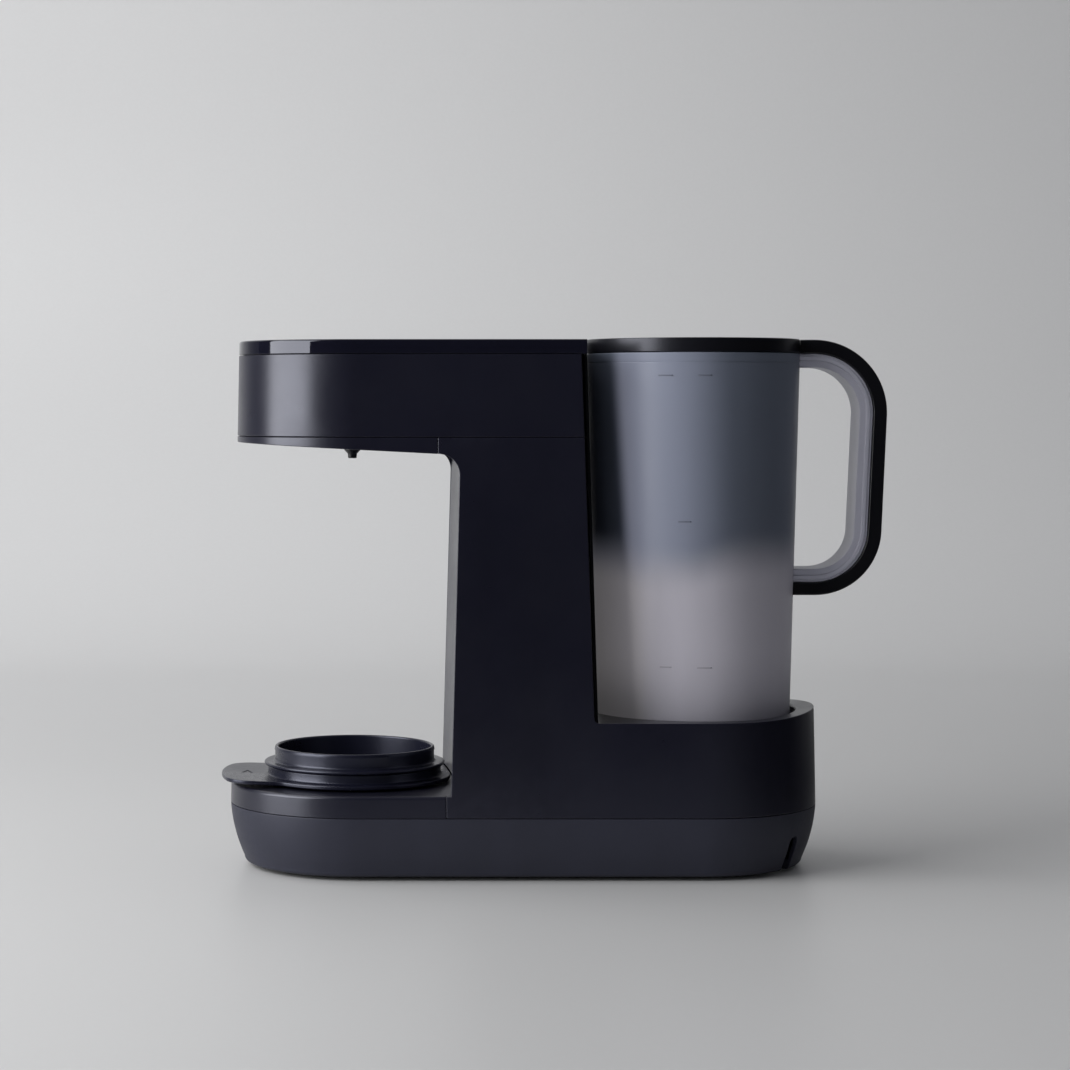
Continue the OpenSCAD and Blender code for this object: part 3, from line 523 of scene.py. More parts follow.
def edge_rub():
    """Mask of rubbed, slightly shinier edges, from the shape's own sharp turns."""
    if "Edge Rub" in bpy.data.node_groups:
        return bpy.data.node_groups["Edge Rub"]
    group, start, end = start_group(
        "Edge Rub",
        [("Vector", "NodeSocketVector", None), ("Pointiness", "NodeSocketFloat", 0.5),
         ("Strength", "NodeSocketFloat", 0.4)],
        [("Mask", "NodeSocketFloat")])
    edge = spread(group, start.outputs["Pointiness"], 0.55, 0.66, 0.0, 1.0, "Edge")
    patchy = noise(group, start.outputs["Vector"], 160.0, 3.0, "Patchy")
    patches = spread(group, patchy, 0.35, 0.7, 0.0, 1.0, "Patches")
    both = calc(group, "MULTIPLY", edge, patches, "Rubbed")
    strength = calc(group, "MULTIPLY", both, start.outputs["Strength"], "Strength")
    group.links.new(strength, end.inputs["Mask"])
    return group


def start_material(name):
    material = bpy.data.materials.new(name)
    material.use_nodes = True
    tree = material.node_tree
    shader = tree.nodes["Principled BSDF"]
    place = add(tree.nodes, "ShaderNodeTexCoord", "Place")
    return material, tree, shader, place.outputs["Object"]


def use_group(tree, group, label, **values):
    node = add(tree.nodes, "ShaderNodeGroup", label)
    node.node_tree = group
    for key, value in values.items():
        feed(tree, node.inputs[key.replace("_", " ")], value)
    return node


def bump(tree, shader, height, strength, distance):
    node = add(tree.nodes, "ShaderNodeBump", "Relief")
    node.inputs["Strength"].default_value = strength
    node.inputs["Distance"].default_value = distance
    tree.links.new(height, node.inputs["Height"])
    tree.links.new(node.outputs["Normal"], shader.inputs["Normal"])


# Tint of what the navy mouldings and the stands reflect
REFLECTION_TINT = (0.86, 0.88, 1.0, 1.0)
STAND_TINT = (0.8, 0.83, 1.0, 1.0)


def plastic(name, colour, smoothest, roughest, grain=2600.0, relief=0.12, drift=0.12, rub=0.35,
            metallic=0.0, specular=0.5, tint=(1.0, 1.0, 1.0, 1.0)):
    """Moulded plastic, rubber or metal: pigment with drift, grain, uneven sheen and rubbed edges."""
    material, tree, shader, place = start_material(name)
    pigment = use_group(tree, tone_drift(), "Pigment", Vector=place, Colour=colour, Amount=drift)
    grained = use_group(tree, moulded_grain(), "Grain", Vector=place, Grain_Scale=grain,
                        Smoothest=smoothest, Roughest=roughest)
    geometry = add(tree.nodes, "ShaderNodeNewGeometry", "Shape")
    rubbed = use_group(tree, edge_rub(), "Rubbed Edges", Vector=place, Strength=rub,
                       Pointiness=geometry.outputs["Pointiness"])
    lighter = [min(1.0, c * 1.7 + 0.012) for c in colour]
    worn = blend_colours(tree, rubbed.outputs["Mask"], pigment.outputs["Colour"], lighter, "Worn Colour")
    tree.links.new(worn, shader.inputs["Base Color"])
    smoother = calc(tree, "MULTIPLY", rubbed.outputs["Mask"], -0.12, "Polish")
    sheen = calc(tree, "ADD", grained.outputs["Roughness"], smoother, "Sheen", clamp=True)
    tree.links.new(sheen, shader.inputs["Roughness"])
    shader.inputs["Metallic"].default_value = metallic
    shader.inputs["Specular IOR Level"].default_value = specular
    shader.inputs["Specular Tint"].default_value = tint
    bump(tree, shader, grained.outputs["Height"], relief, 0.05 * MM)
    return material


def polished_black():
    """Polished cover: mirror smooth, with faint wiping marks."""
    material, tree, shader, place = start_material("Polished Black")
    pigment = use_group(tree, tone_drift(), "Pigment", Vector=place, Colour=colours().gloss, Amount=0.1)
    tree.links.new(pigment.outputs["Colour"], shader.inputs["Base Color"])
    wipes = noise(tree, place, 30.0, 4.0, "Wiping Marks", stretch=(1.0, 4.0, 1.0))
    haze = spread(tree, wipes, 0.45, 0.8, 0.045, 0.1, "Haze")
    tree.links.new(haze, shader.inputs["Roughness"])
    ripple = noise(tree, place, 60.0, 2.0, "Mould Ripple")
    bump(tree, shader, ripple, 0.04, 0.05 * MM)
    shader.inputs["Specular IOR Level"].default_value = 0.62
    shader.inputs["Specular Tint"].default_value = REFLECTION_TINT
    return material


def frost(tree, shader, place, colour, smoothest, roughest, transmission):
    """Fine frost that every part of the jug has, over its own colour."""
    pigment = use_group(tree, tone_drift(), "Pigment", Vector=place, Colour=colour, Amount=0.06)
    tree.links.new(pigment.outputs["Colour"], shader.inputs["Base Color"])
    grained = use_group(tree, moulded_grain(), "Grain", Vector=place, Grain_Scale=1800.0,
                        Smoothest=smoothest, Roughest=roughest)
    tree.links.new(grained.outputs["Roughness"], shader.inputs["Roughness"])
    shader.inputs["Transmission Weight"].default_value = transmission
    shader.inputs["IOR"].default_value = 1.45
    bump(tree, shader, grained.outputs["Height"], 0.1, 0.05 * MM)


def frosted_plain(name, colour):
    """Frosted smoke without a water line, for the handle and the raised marks."""
    material, tree, shader, place = start_material(name)
    frost(tree, shader, place, colour, 0.32, 0.42, 0.3)
    return material


# Lean, reference height and soft edge of the painted lit strip on the jug's wall
STRIP_LEAN = 0.057
STRIP_TOP_Z = 231.0
STRIP_EDGE = 6.4


def frosted_wall():
    """Smoky translucent jug: one tone over the water line, a lighter one under it, with painted shade low
    down by the well and a painted glow beside the column.
    """
    material, tree, shader, place = start_material("Frosted Smoke")
    axes = add(tree.nodes, "ShaderNodeSeparateXYZ", "Axes")
    tree.links.new(place, axes.inputs["Vector"])
    x, z = axes.outputs["X"], axes.outputs["Z"]

    def across(start, end, first, last, label):
        """Ramp along the body, between two distances in millimetres from the jug's axis."""
        return spread(tree, x, (JUG_X + start) * MM, (JUG_X + end) * MM, first, last, label)

    # The water line drifts a little, and looks lower in the middle of the jug
    wave = noise(tree, place, 14.0, 2.0, "Line Drift")
    drift = scale_add(tree, wave, 12 * MM, z, "Drift Height")
    sinks = across(-42, -28, 0.0, 1.0, "Line Sinks")
    rises = across(-8, 14, 1.0, 0.0, "Line Rises")
    middle = calc(tree, "MULTIPLY", sinks, rises, "Line Middle")
    height = scale_add(tree, middle, 6 * MM, drift, "Line Height")
    line = sizes().water_line
    dry = spread(tree, height, line - 10 * MM, line + 18 * MM, 0.0, 1.0, "Above Water")
    wet = calc(tree, "SUBTRACT", 1.0, dry, "Below Water")
    toned = blend_colours(tree, dry, colours().jug_wet, colours().jug_dry, "Tones")
    # Painted shade: the wall is darker low down, near and inside the well
    depth = spread(tree, z, 70 * MM, 112 * MM, 0.0, 1.0, "Above The Well")
    shaded = blend_colours(tree, depth, tone(180, 178, 188), toned, "Painted Shade In The Well")

    # Painted light, as an emission glow that stands in for lamp light passed on by the frosted wall: a strip
    # beside the column, which leans a little, and below the water line a broader, fainter painted glow at the
    # column's side
    lean = scale_add(tree, z, STRIP_LEAN, x, "Lean")
    start = (JUG_X - 43.5 + STRIP_LEAN * STRIP_TOP_Z) * MM
    rise = spread(tree, lean, start, start + STRIP_EDGE * MM, 0.0, 1.0, "Out Of Shade")
    fall = across(-27, 15, 1.08, 0.0, "Fades To The Right")
    ridge = calc(tree, "MULTIPLY", rise, fall, "Lit Strip")
    strip = calc(tree, "MULTIPLY", ridge, dry, "Strip Above Water")
    near = across(-34, -21, 1.0, 0.0, "Near The Column")
    step = spread(tree, rise, 0.0, 1.0, 0.58, 1.08, "Brighter Step")
    broad = calc(tree, "MULTIPLY", near, step, "Broad Glow")
    sunk = calc(tree, "MULTIPLY", broad, wet, "Glow Below Water")
    fading = spread(tree, depth, 0.0, 1.0, 0.6, 1.0, "Fades In The Well")
    low_glow = calc(tree, "MULTIPLY", sunk, fading, "Low Glow")
    glow = calc(tree, "ADD", strip, low_glow, "Painted Light")
    light = blend_colours(tree, dry, (0.089, 0.086, 0.084), (0.087, 0.089, 0.110), "Painted Light Tone")
    painted_glow = blend_colours(tree, glow, (0.0, 0.0, 0.0), light, "Painted Glow")
    painted_glow.node.clamp_factor = False
    tree.links.new(painted_glow, shader.inputs["Emission Color"])
    shader.inputs["Emission Strength"].default_value = 1.0
    frost(tree, shader, place, shaded, 0.34, 0.44, 0.35)
    shader.inputs["Specular IOR Level"].default_value = 0.25
    return material


def finish(name):
    """The material of that name, made once."""
    return bpy.data.materials.get(name) or FINISHES[name]()


FINISHES = {
    "Body Navy": lambda: plastic("Body Navy", colours().body, 0.27, 0.36, relief=0.1,
                                 specular=0.72, tint=REFLECTION_TINT),
    "Base Navy": lambda: plastic("Base Navy", colours().base, 0.46, 0.58, relief=0.16,
                                 tint=REFLECTION_TINT),
    "Polished Black": polished_black,
    "Stand Black": lambda: plastic("Stand Black", colours().stand, 0.24, 0.34, relief=0.12, rub=0.06,
                                   specular=0.6, tint=STAND_TINT),
    "Trim Black": lambda: plastic("Trim Black", colours().trim, 0.28, 0.38, relief=0.1),
    "Lid Black": lambda: plastic("Lid Black", colours().trim, 0.3, 0.38, relief=0.08,
                                 specular=0.55, tint=REFLECTION_TINT),
    "Shadow Black": lambda: plastic("Shadow Black", tone(12, 12, 16), 0.5, 0.6),
    "Frosted Smoke": frosted_wall,
    "Frosted Handle": lambda: frosted_plain("Frosted Handle", tone(192, 192, 206)),
    "Level Marks": lambda: frosted_plain("Level Marks", tone(112, 117, 131)),
    "Low Level Marks": lambda: frosted_plain("Low Level Marks", tone(176, 173, 183)),
    "Foot Rubber": lambda: plastic("Foot Rubber", tone(24, 24, 25), 0.7, 0.85, grain=900.0, relief=0.4),
    "White Moulding": lambda: plastic("White Moulding", tone(222, 222, 216), 0.3, 0.42, drift=0.05),
    "Milky Silicone": lambda: plastic("Milky Silicone", tone(206, 208, 204), 0.35, 0.5, drift=0.08),
    "Red Silicone": lambda: plastic("Red Silicone", tone(170, 72, 48), 0.45, 0.6, grain=900.0),
    "Plated Steel": lambda: plastic("Plated Steel", tone(176, 177, 182), 0.24, 0.4, metallic=1.0,
                                    grain=700.0, relief=0.08),
    "Drawn Steel": lambda: plastic("Drawn Steel", tone(190, 192, 198), 0.2, 0.34, metallic=1.0,
                                   grain=1200.0, relief=0.06),
    "Brass": lambda: plastic("Brass", tone(196, 160, 92), 0.25, 0.4, metallic=1.0, grain=900.0),
    "Circuit Board": lambda: plastic("Circuit Board", tone(34, 96, 58), 0.3, 0.5, grain=500.0,
                                     relief=0.5, drift=0.35),
    "Frame Grey": lambda: plastic("Frame Grey", tone(132, 134, 138), 0.45, 0.6),
    "Cable Sleeve": lambda: plastic("Cable Sleeve", tone(58, 58, 62), 0.6, 0.75, grain=1500.0, relief=0.5),
}


# ---- Pieces ----
class DISPENSER_OT_base(bpy.types.Operator):
    """Builds the tapered base shell with the cord's way out"""
    bl_idname = "dispenser.base"
    bl_label = "Build Base"

    def execute(self, context):
        side_slope, curve_r = 0.05, 65.0
        bottom_z, edge_r = 2.0, 2.6
        opening_r, plate_z = 46.3, 4.7
        ledge_r, ledge_z = 42.0, 6.7
        steps = 12

        def inset(z):
            """How far the side has drawn in below the seam."""
            d = SEAM_Z - z
            return side_slope * d + d * d / (2 * curve_r)

        top = SEAM_Z - HALF_SEAM
        heights = [top - (top - bottom_z - edge_r) * i / steps for i in range(steps + 1)]
        side = [(SEAM_HALF_W - inset(z), z) for z in heights]
        edge = arc(side[-1][0] - edge_r, bottom_z + edge_r, edge_r, -12, -90, 6)
        shell = stack("base_shell", capsule, list(reversed(side + edge)))
        inside = [(r - WALL, z) for r, z in side if z > ledge_z + 1]
        room = stack("room", capsule, [(inside[-1][0] - 0.4, ledge_z)] + list(reversed(inside))
                     + [(SEAM_HALF_W - WALL, SEAM_Z + 10)])
        cut(shell, room)
        cut(shell, stack("hatch", capsule, [(ledge_r, -5), (ledge_r, 20)]))
        cut(shell, stack("seat", capsule, [(opening_r, -5), (opening_r, plate_z)]))
        # The cord's way out, a round-topped slot across the shell's wall
        slot_r, slot_z = 3.4, 15.7
        slot_start, slot_end = 46.0, 67.0
        slot_turn = radians(-40)
        outline = [(-slot_r, -5), (slot_r, -5)] + arc(0, slot_z, slot_r, 0, 180, 16)
        across = Vector((-sin(slot_turn), cos(slot_turn)))
        along = Vector((cos(slot_turn), sin(slot_turn)))
        rings = []
        for reach in (slot_start, slot_end):
            spots = [(Vector((REAR_AXIS_X, 0)) + along * reach + across * s, z) for s, z in outline]
            rings.append([(spot.x, spot.y, z) for spot, z in spots])
        cut(shell, prism("slot", *rings))
        soften(shell)
        dress(shell, "base", finish("Base Navy"), "base_navy", "lower_shell")
        # Inner lip that closes the seam between base and body; its near-black finish is painted shade in the
        # seam
        lip = stack("seam_lip", capsule, straight(SEAM_Z - 3, SEAM_Z + 2.8, WALL + 0.1))
        cut(lip, stack("lip_room", capsule, straight(SEAM_Z - 5, SEAM_Z + 5, WALL + 1.3)))
        soften(lip, width=0)
        dress(lip, "base", finish("Shadow Black"), "base_navy")
        return {"FINISHED"}


class DISPENSER_OT_deck(bpy.types.Operator):
    """Builds the deck cover under the bottle stands"""
    bl_idname = "dispenser.deck"
    bl_label = "Build Deck"

    def execute(self, context):
        end_x = DECK_END_X - HALF_SEAM
        edge = sizes().deck_edge / MM
        deck = stack("deck_cover", front_plan(end_x), rounded_top(SEAM_Z + HALF_SEAM, DECK_Z, edge, steps=6))
        cut(deck, stack("deck_room", front_plan(end_x + 5), straight(SEAM_Z - 2, DECK_Z - WALL, WALL)))
        reach = half_w(DECK_Z) - WALL - 0.3
        curve = [(hollow_x(y, DECK_Z) - 0.3, y) for y in [reach * (1 - i / 12) for i in range(25)]]
        tongue = [(BAY_X + 20, -reach), (BAY_X + 20, reach)] + curve
        join(deck, plan_slab("tongue", tongue, DECK_Z - WALL, DECK_Z))
        soften(deck, width=0.15 * MM, segments=2)
        dress(deck, "base", finish("Body Navy"), "body_navy", "front_deck_cover")
        return {"FINISHED"}


class DISPENSER_OT_body(bpy.types.Operator):
    """Builds the column's flanks with the surround of the jug's well"""
    bl_idname = "dispenser.body"
    bl_label = "Build Body"

    def execute(self, context):
        bottom = SEAM_Z + HALF_SEAM
        top = HEAD_Z - HALF_SEAM
        well_edge = panel_x(RIM_Z - WALL) + 0.1
        fillet_z = under_z(UNDER_END_X) - FILLET_R
        fillet_x = front_x(fillet_z) - FILLET_R
        corner = REAR_FILLET_R
        outline = [(DECK_END_X + HALF_SEAM, bottom - 5), (150, bottom - 5)]
        outline += [(x, rim_top(x)) for x in range(150, 89, -4)]
        outline += arc(rear_x(RIM_Z + corner) + corner, RIM_Z + corner, corner, 270, 180, 6)
        outline += [(rear_x(top + 5), top + 5), (UNDER_END_X, top + 5), (UNDER_END_X, fillet_z + FILLET_R)]
        outline += arc(fillet_x, fillet_z, FILLET_R, 90, 0, 14)
        outline += [(front_x(DECK_Z), DECK_Z), (DECK_END_X + HALF_SEAM, DECK_Z)]
        body = stack("body_flanks", rear_plan(-70), straight(bottom, top))
        keep(body, side_slab("side_view", outline))
        room = stack("room", rear_plan(-90), straight(bottom - 10, top + 10, WALL))
        keep(room, side_slab("room_view", [(-90, 0), (-90, FAR), (well_edge, FAR),
                                           (well_edge, RIM_Z - WALL), (200, RIM_Z - WALL), (200, 0)]))
        cut(body, room)
        centre = (JUG_X, 0.0)
        bore = WELL_R + LINER_T + 0.3
        well = [(0, 0), (bore, 0), (bore, RIM_Z - RIM_T), (WELL_R, RIM_Z - RIM_T), (WELL_R, 120), (0, 120)]
        cut(body, lathe("well", well, centre))
        round_well_edge(body)
        soften(body)
        dress(body, "base", finish("Body Navy"), "body_navy", "body_shell")
        return {"FINISHED"}


def round_well_edge(body):
    """Rounds the inner edge of the well's rim."""
    built = bmesh.new()
    built.from_mesh(body.data)
    weight = built.edges.layers.float.new("bevel_weight_edge")
    near = 0.06
    for edge in built.edges:
        ends = [v.co / MM for v in edge.verts]
        if all(abs(hypot(p.x - JUG_X, p.y) - WELL_R) < near and p.z > RIM_Z - near for p in ends):
            edge[weight] = 1.0
    built.to_mesh(body.data)
    built.free()
    bevel = body.modifiers.new("Well Edge", "BEVEL")
    bevel.width = 1.35 * MM
    bevel.segments = 5
    bevel.limit_method = "WEIGHT"
    bevel.use_clamp_overlap = False
    bake(body)


def panel_plan(z):
    """Plan outline of the hollow front panel at some height."""
    reach = half_w(z) - WALL - 0.1
    skin = [(hollow_x(y, z), y, z) for y in [reach * (i / 20 - 1) for i in range(41)]]
    return skin + [(x + WALL, y, z) for x, y, z in reversed(skin)]


class DISPENSER_OT_column(bpy.types.Operator):
    """Builds the column's hollow front panel and its flat rear panel"""
    bl_idname = "dispenser.column"
    bl_label = "Build Column Panels"

    def execute(self, context):
        front = prism("column_front", panel_plan(DECK_Z + 0.3), panel_plan(212.0))
        roof = [(-90, under_z(-90) - 0.1), (0, under_z(0) - 0.1), (0, 300), (-90, 300)]
        cut(front, side_slab("roof", roof))
        soften(front)
        dress(front, "base", finish("Body Navy"), "body_navy", "column_front_panel")

        bottom = WELL_FLOOR_Z - 3
        top = COVER_Z + HALF_SEAM
        rear = stack("column_rear", block_plan(0, 60), straight(bottom, top, WALL + 0.1))
        view = [(panel_x(bottom - 5) - PANEL_T, bottom - 5), (panel_x(bottom - 5), bottom - 5),
                (panel_x(top + 5), top + 5), (panel_x(top + 5) - PANEL_T, top + 5)]
        keep(rear, side_slab("rear_view", view))
        soften(rear, width=0)
        dress(rear, "base", finish("Trim Black"), "black_plastic", "column_rear_panel")
        return {"FINISHED"}


class DISPENSER_OT_head(bpy.types.Operator):
    """Builds the head's shell, its sloping underside and the glossy top cover"""
    bl_idname = "dispenser.head"
    bl_label = "Build Head"

    def execute(self, context):
        bottom = HEAD_Z + HALF_SEAM
        top = COVER_Z - HALF_SEAM
        shell = stack("head_wall", front_plan(40), straight(bottom, top))
        keep(shell, side_slab("head_view", [(-FAR, 0), (rear_x(0), 0), (rear_x(FAR), FAR), (-FAR, FAR)]))
        cut(shell, stack("head_room", front_plan(60), straight(bottom - 10, top + 10, WALL)))
        soften(shell)
        dress(shell, "base", finish("Body Navy"), "body_navy", "head_shell")

        # Inner lip behind the seam between body and head; its near-black finish is painted shade in the seam
        lip = stack("head_lip", front_plan(6), straight(HEAD_Z - 2.2, HEAD_Z + 1.4, WALL + 0.1))
        keep(lip, side_slab("lip_view", slope_view(WALL + 0.2)))
        cut(lip, stack("lip_room", front_plan(20), straight(200, 230, WALL + 1.4)))
        soften(lip, width=0)
        dress(lip, "base", finish("Shadow Black"), "body_navy")

        tray = stack("head_underside", front_plan(UNDER_END_X - HALF_SEAM), straight(195, HEAD_Z - HALF_SEAM))
        inner = stack("tray_rear", block_plan(-75, -40), straight(195, HEAD_Z - HALF_SEAM, WALL + 0.1))
        join(tray, inner)
        keep(tray, side_slab("under_view", slope_view(0)))
        room = stack("tray_room", front_plan(-30), straight(190, 240, WALL))
        keep(room, side_slab("room_view", slope_view(WALL)))
        cut(tray, room)
        cut(tray, lathe("nozzle_hole", [(0, 190), (5.1, 190), (5.1, 230), (0, 230)], (NOZZLE_X, 0.0), 48))
        soften(tray)
        dress(tray, "base", finish("Body Navy"), "body_navy", "head_underside")

        edge = sizes().cover_edge / MM
        cover = stack("top_cover_gloss", front_plan(COVER_END_X),
                      rounded_top(COVER_Z + HALF_SEAM, TOP_Z, edge))
        cut(cover, stack("cover_room", front_plan(COVER_END_X - 4.9),
                         straight(250, TOP_Z - WALL, WALL + 1.4)))
        soften(cover, width=0.25 * MM)
        dress(cover, "base", finish("Polished Black"), "cover_black", "top_cover")
        # Inner lip behind the seam under the top cover; its near-black finish is painted shade in the seam
        rim = stack("cover_lip", front_plan(panel_x(COVER_Z) - PANEL_T - 0.1),
                    straight(COVER_Z - 2.6, COVER_Z + 1, WALL + 0.1))
        cut(rim, stack("rim_room", front_plan(panel_x(COVER_Z) - PANEL_T - 2),
                       straight(245, 260, WALL + 1.4)))
        soften(rim, width=0)
        dress(rim, "base", finish("Shadow Black"), "cover_black")
        return {"FINISHED"}


def slope_view(lift):
    """Side view outline of everything above the sloping underside."""
    x0, x1 = -190.0, 40.0
    return [(x0, under_z(x0) + lift), (x1, under_z(x1) + lift), (x1, 300), (x0, 300)]


class DISPENSER_OT_nozzle(bpy.types.Operator):
    """Builds the nozzle under the head"""
    bl_idname = "dispenser.nozzle"
    bl_label = "Build Nozzle"

    def execute(self, context):
        tip = low("nozzle").z
        bore = 1.2
        profile = [(bore, tip + 0.25), (bore + 0.25, tip), (1.95, tip), (2.15, tip + 0.2), (2.3, tip + 2.2),
                   (2.7, tip + 2.6), (3.9, tip + 3.9), (4.1, tip + 4.1), (4.1, tip + 4.6), (5.0, tip + 4.6),
                   (5.0, tip + 9), (3.4, tip + 9), (3.4, tip + 12), (bore, tip + 12)]
        nozzle = lathe("nozzle_tip", profile, (NOZZLE_X, 0.0), 64)
        soften(nozzle, width=0.12 * MM)
        dress(nozzle, "base", finish("Trim Black"), "black_plastic", "nozzle")
        return {"FINISHED"}


class DISPENSER_OT_well(bpy.types.Operator):
    """Builds the well's liner"""
    bl_idname = "dispenser.well"
    bl_label = "Build Well Liner"

    def execute(self, context):
        outer = WELL_R + LINER_T
        profile = [(13.7, WELL_FLOOR_Z - 2.4), (outer, WELL_FLOOR_Z - 2.4), (outer, RIM_Z - 1.6),
                   (WELL_R, RIM_Z - 1.6), (WELL_R, WELL_FLOOR_Z + 2)]
        profile += arc(WELL_R - 2, WELL_FLOOR_Z + 2, 2, 0, -90, 4)[1:]
        profile += [(16.4, WELL_FLOOR_Z), (15.9, WELL_FLOOR_Z + 0.2), (14.3, WELL_FLOOR_Z + 0.2),
                    (13.7, WELL_FLOOR_Z - 0.3)]
        liner = lathe("well_liner_skin", profile, (JUG_X, 0.0), 160)
        side = [(-50, 0), (panel_x(0) + 0.1, 0), (panel_x(FAR) + 0.1, FAR), (-50, FAR)]
        cut(liner, side_slab("panel_side", side))
        soften(liner, width=0)
        dress(liner, "base", finish("Body Navy"), "body_navy", "well_liner")
        return {"FINISHED"}


# ---- Jug ----
def handle_outline(in_top, in_side, in_low, r_top, r_low):
    """The handle's side view, each side set in from the outermost outline."""
    lean = math.atan(0.048)
    lean_z = 225
    top = high("handle_grip").z - in_top
    bottom = low("handle_grip").z + in_low

    def centre_x(z, inset):
        return high("handle_grip").x + ((z - lean_z) * sin(lean) - inset) / cos(lean)

    upper = (centre_x(top - r_top, in_side + r_top), top - r_top)
    lower = (centre_x(bottom + r_low, in_side + r_low), bottom + r_low)
    turn = math.degrees(lean)
    points = [(JUG_X + 20, top)]
    points += arc(upper[0], upper[1], r_top, 90, -turn, 24)
    points += arc(lower[0], lower[1], r_low, -turn, -90, 24)
    points += [(JUG_X + 20, bottom)]
    return points


# Outlines of the grip, the loop and the bead on the loop, in the order that handle_outline takes
GRIP_OUT = (0.0, 0.0, 0.0, 36.0, 33.0)
GRIP_IN = (6.8, 6.8, 6.3, 29.2, 26.7)
LOOP_OUT = (6.9, 6.9, 6.4, 29.1, 26.6)
LOOP_IN = (13.7, 13.5, 13.0, 22.3, 19.8)
BEAD_OUT = (8.0, 8.0, 7.5, 28.0, 25.5)
BEAD_IN = (10.6, 10.6, 10.1, 25.4, 22.9)
GRIP_W = high("handle_grip").y - low("handle_grip").y


def handle_band(name, outer, inner, width):
    """A C-shaped band between two of the handle's outlines, open towards the jug."""
    return side_slab(name, handle_outline(*outer) + list(reversed(handle_outline(*inner))), width)


def rounded_band(name, outer, inner, width, r):
    """A band of the handle with its rounded edges baked in."""
    band = handle_band(name, outer, inner, width)
    soften(band, width=r * MM, segments=4)
    bake(band)
    return band


def jug_cone(gap):
    """The jug's outer cone, made larger by a gap, to trim what meets the jug."""
    low_z, high_z = 30, 300
    return lathe("jug_cone", [(0, low_z), (jug_r(low_z) + gap, low_z), (jug_r(high_z) + gap, high_z),
                              (0, high_z)], (JUG_X, 0.0), 160)


class DISPENSER_OT_jug(bpy.types.Operator):
    """Builds the frosted jug with the loop of its handle"""
    bl_idname = "dispenser.jug"
    bl_label = "Build Jug"

    def execute(self, context):
        z0 = JUG_FLOOR_Z
        floor_z = z0 + 2.6
        edge, inner_edge = 2.5, 3.0
        collar = 249.0
        neck = 9.9
        outside = [(neck, z0)] + arc(jug_r(z0) - edge, z0 + edge, edge, -90, 0, 6)
        outside += [(jug_r(z), z) for z in (100, 140, 180, 220)]
        outside += [(jug_r(collar), collar), (jug_r(collar) - 0.3, collar + 0.25),
                    (jug_r(collar) - 0.3, collar + 0.6), (jug_r(collar), collar + 0.9)]
        rim = arc(JUG_TOP_R - 0.6, JUG_RIM_Z - 0.6, 0.6, 0, 90, 4)
        rim += arc(JUG_TOP_R - JUG_WALL + 0.6, JUG_RIM_Z - 0.6, 0.6, 90, 180, 4)
        inside = [(jug_r(z) - JUG_WALL, z) for z in (220, 180, 140, 100)]
        inside += arc(jug_r(floor_z) - JUG_WALL - inner_edge, floor_z + inner_edge, inner_edge, 0, -90, 6)
        vessel = lathe("jug_vessel", outside + rim + inside + [(neck, floor_z)], (JUG_X, 0.0), 160)
        soften(vessel, width=0)
        dress(vessel, "jug", finish("Frosted Smoke"), "jug_frosted", "jug")

        loop = rounded_band("jug_handle", LOOP_OUT, LOOP_IN, GRIP_W - 2.0, 0.5)
        join(loop, rounded_band("bead", BEAD_OUT, BEAD_IN, GRIP_W - 0.5, 0.85))
        cut(loop, jug_cone(-0.4))
        soften(loop, width=0)
        dress(loop, "jug", finish("Frosted Handle"), "jug_frosted")

        marks(242.9, ((-21.4, 7.2), (-0.8, 6.7)))
        marks(172.4, ((-11.6, 6.3),))
        marks(102.0, ((-22.8, 5.8), (-0.6, 7.2)), "Low Level Marks")
        return {"FINISHED"}


def marks(z, dashes, material="Level Marks"):
    """Raised level marks on the jug's near side; a dash is its angle round the jug and its length."""
    for index, (angle, length) in enumerate(dashes):
        r = jug_r(z)
        half = math.degrees(length / 2 / r)
        steps = 8
        verts, faces = [], []
        for i in range(steps + 1):
            a = radians(angle - 90 - half + 2 * half * i / steps)
            for dr, dz in ((-0.3, -0.35), (0.12, -0.3), (0.12, 0.3), (-0.3, 0.35)):
                verts.append((JUG_X + (r + dr) * cos(a), (r + dr) * sin(a), z + dz))
        for i in range(steps):
            for k in range(4):
                m = (k + 1) % 4
                faces.append((4 * i + k, 4 * i + m, 4 * i + 4 + m, 4 * i + 4 + k))
        faces += [(0, 1, 2, 3), tuple(4 * steps + k for k in (3, 2, 1, 0))]
        dash = new_piece(f"level_mark_{round(z)}_{index}", verts, faces)
        soften(dash, width=0)
        dress(dash, "jug", finish(material), "jug_frosted")


class DISPENSER_OT_grip(bpy.types.Operator):
    """Builds the dark grip strip round the outside of the handle"""
    bl_idname = "dispenser.grip"
    bl_label = "Build Grip"

    def execute(self, context):
        grip = handle_band("grip_strip", GRIP_OUT, GRIP_IN, GRIP_W)
        soften(grip, width=sizes().grip_edge, segments=4)
        cut(grip, jug_cone(0.1))
        clear = LID_R + LID_LAP + 0.05
        cut(grip, lathe("lid_side", [(0, 254), (clear, 254), (clear, 300), (0, 300)], (JUG_X, 0.0), 160))
        soften(grip, width=0)
        dress(grip, "jug", finish("Trim Black"), "handle_black", "handle_grip")
        return {"FINISHED"}


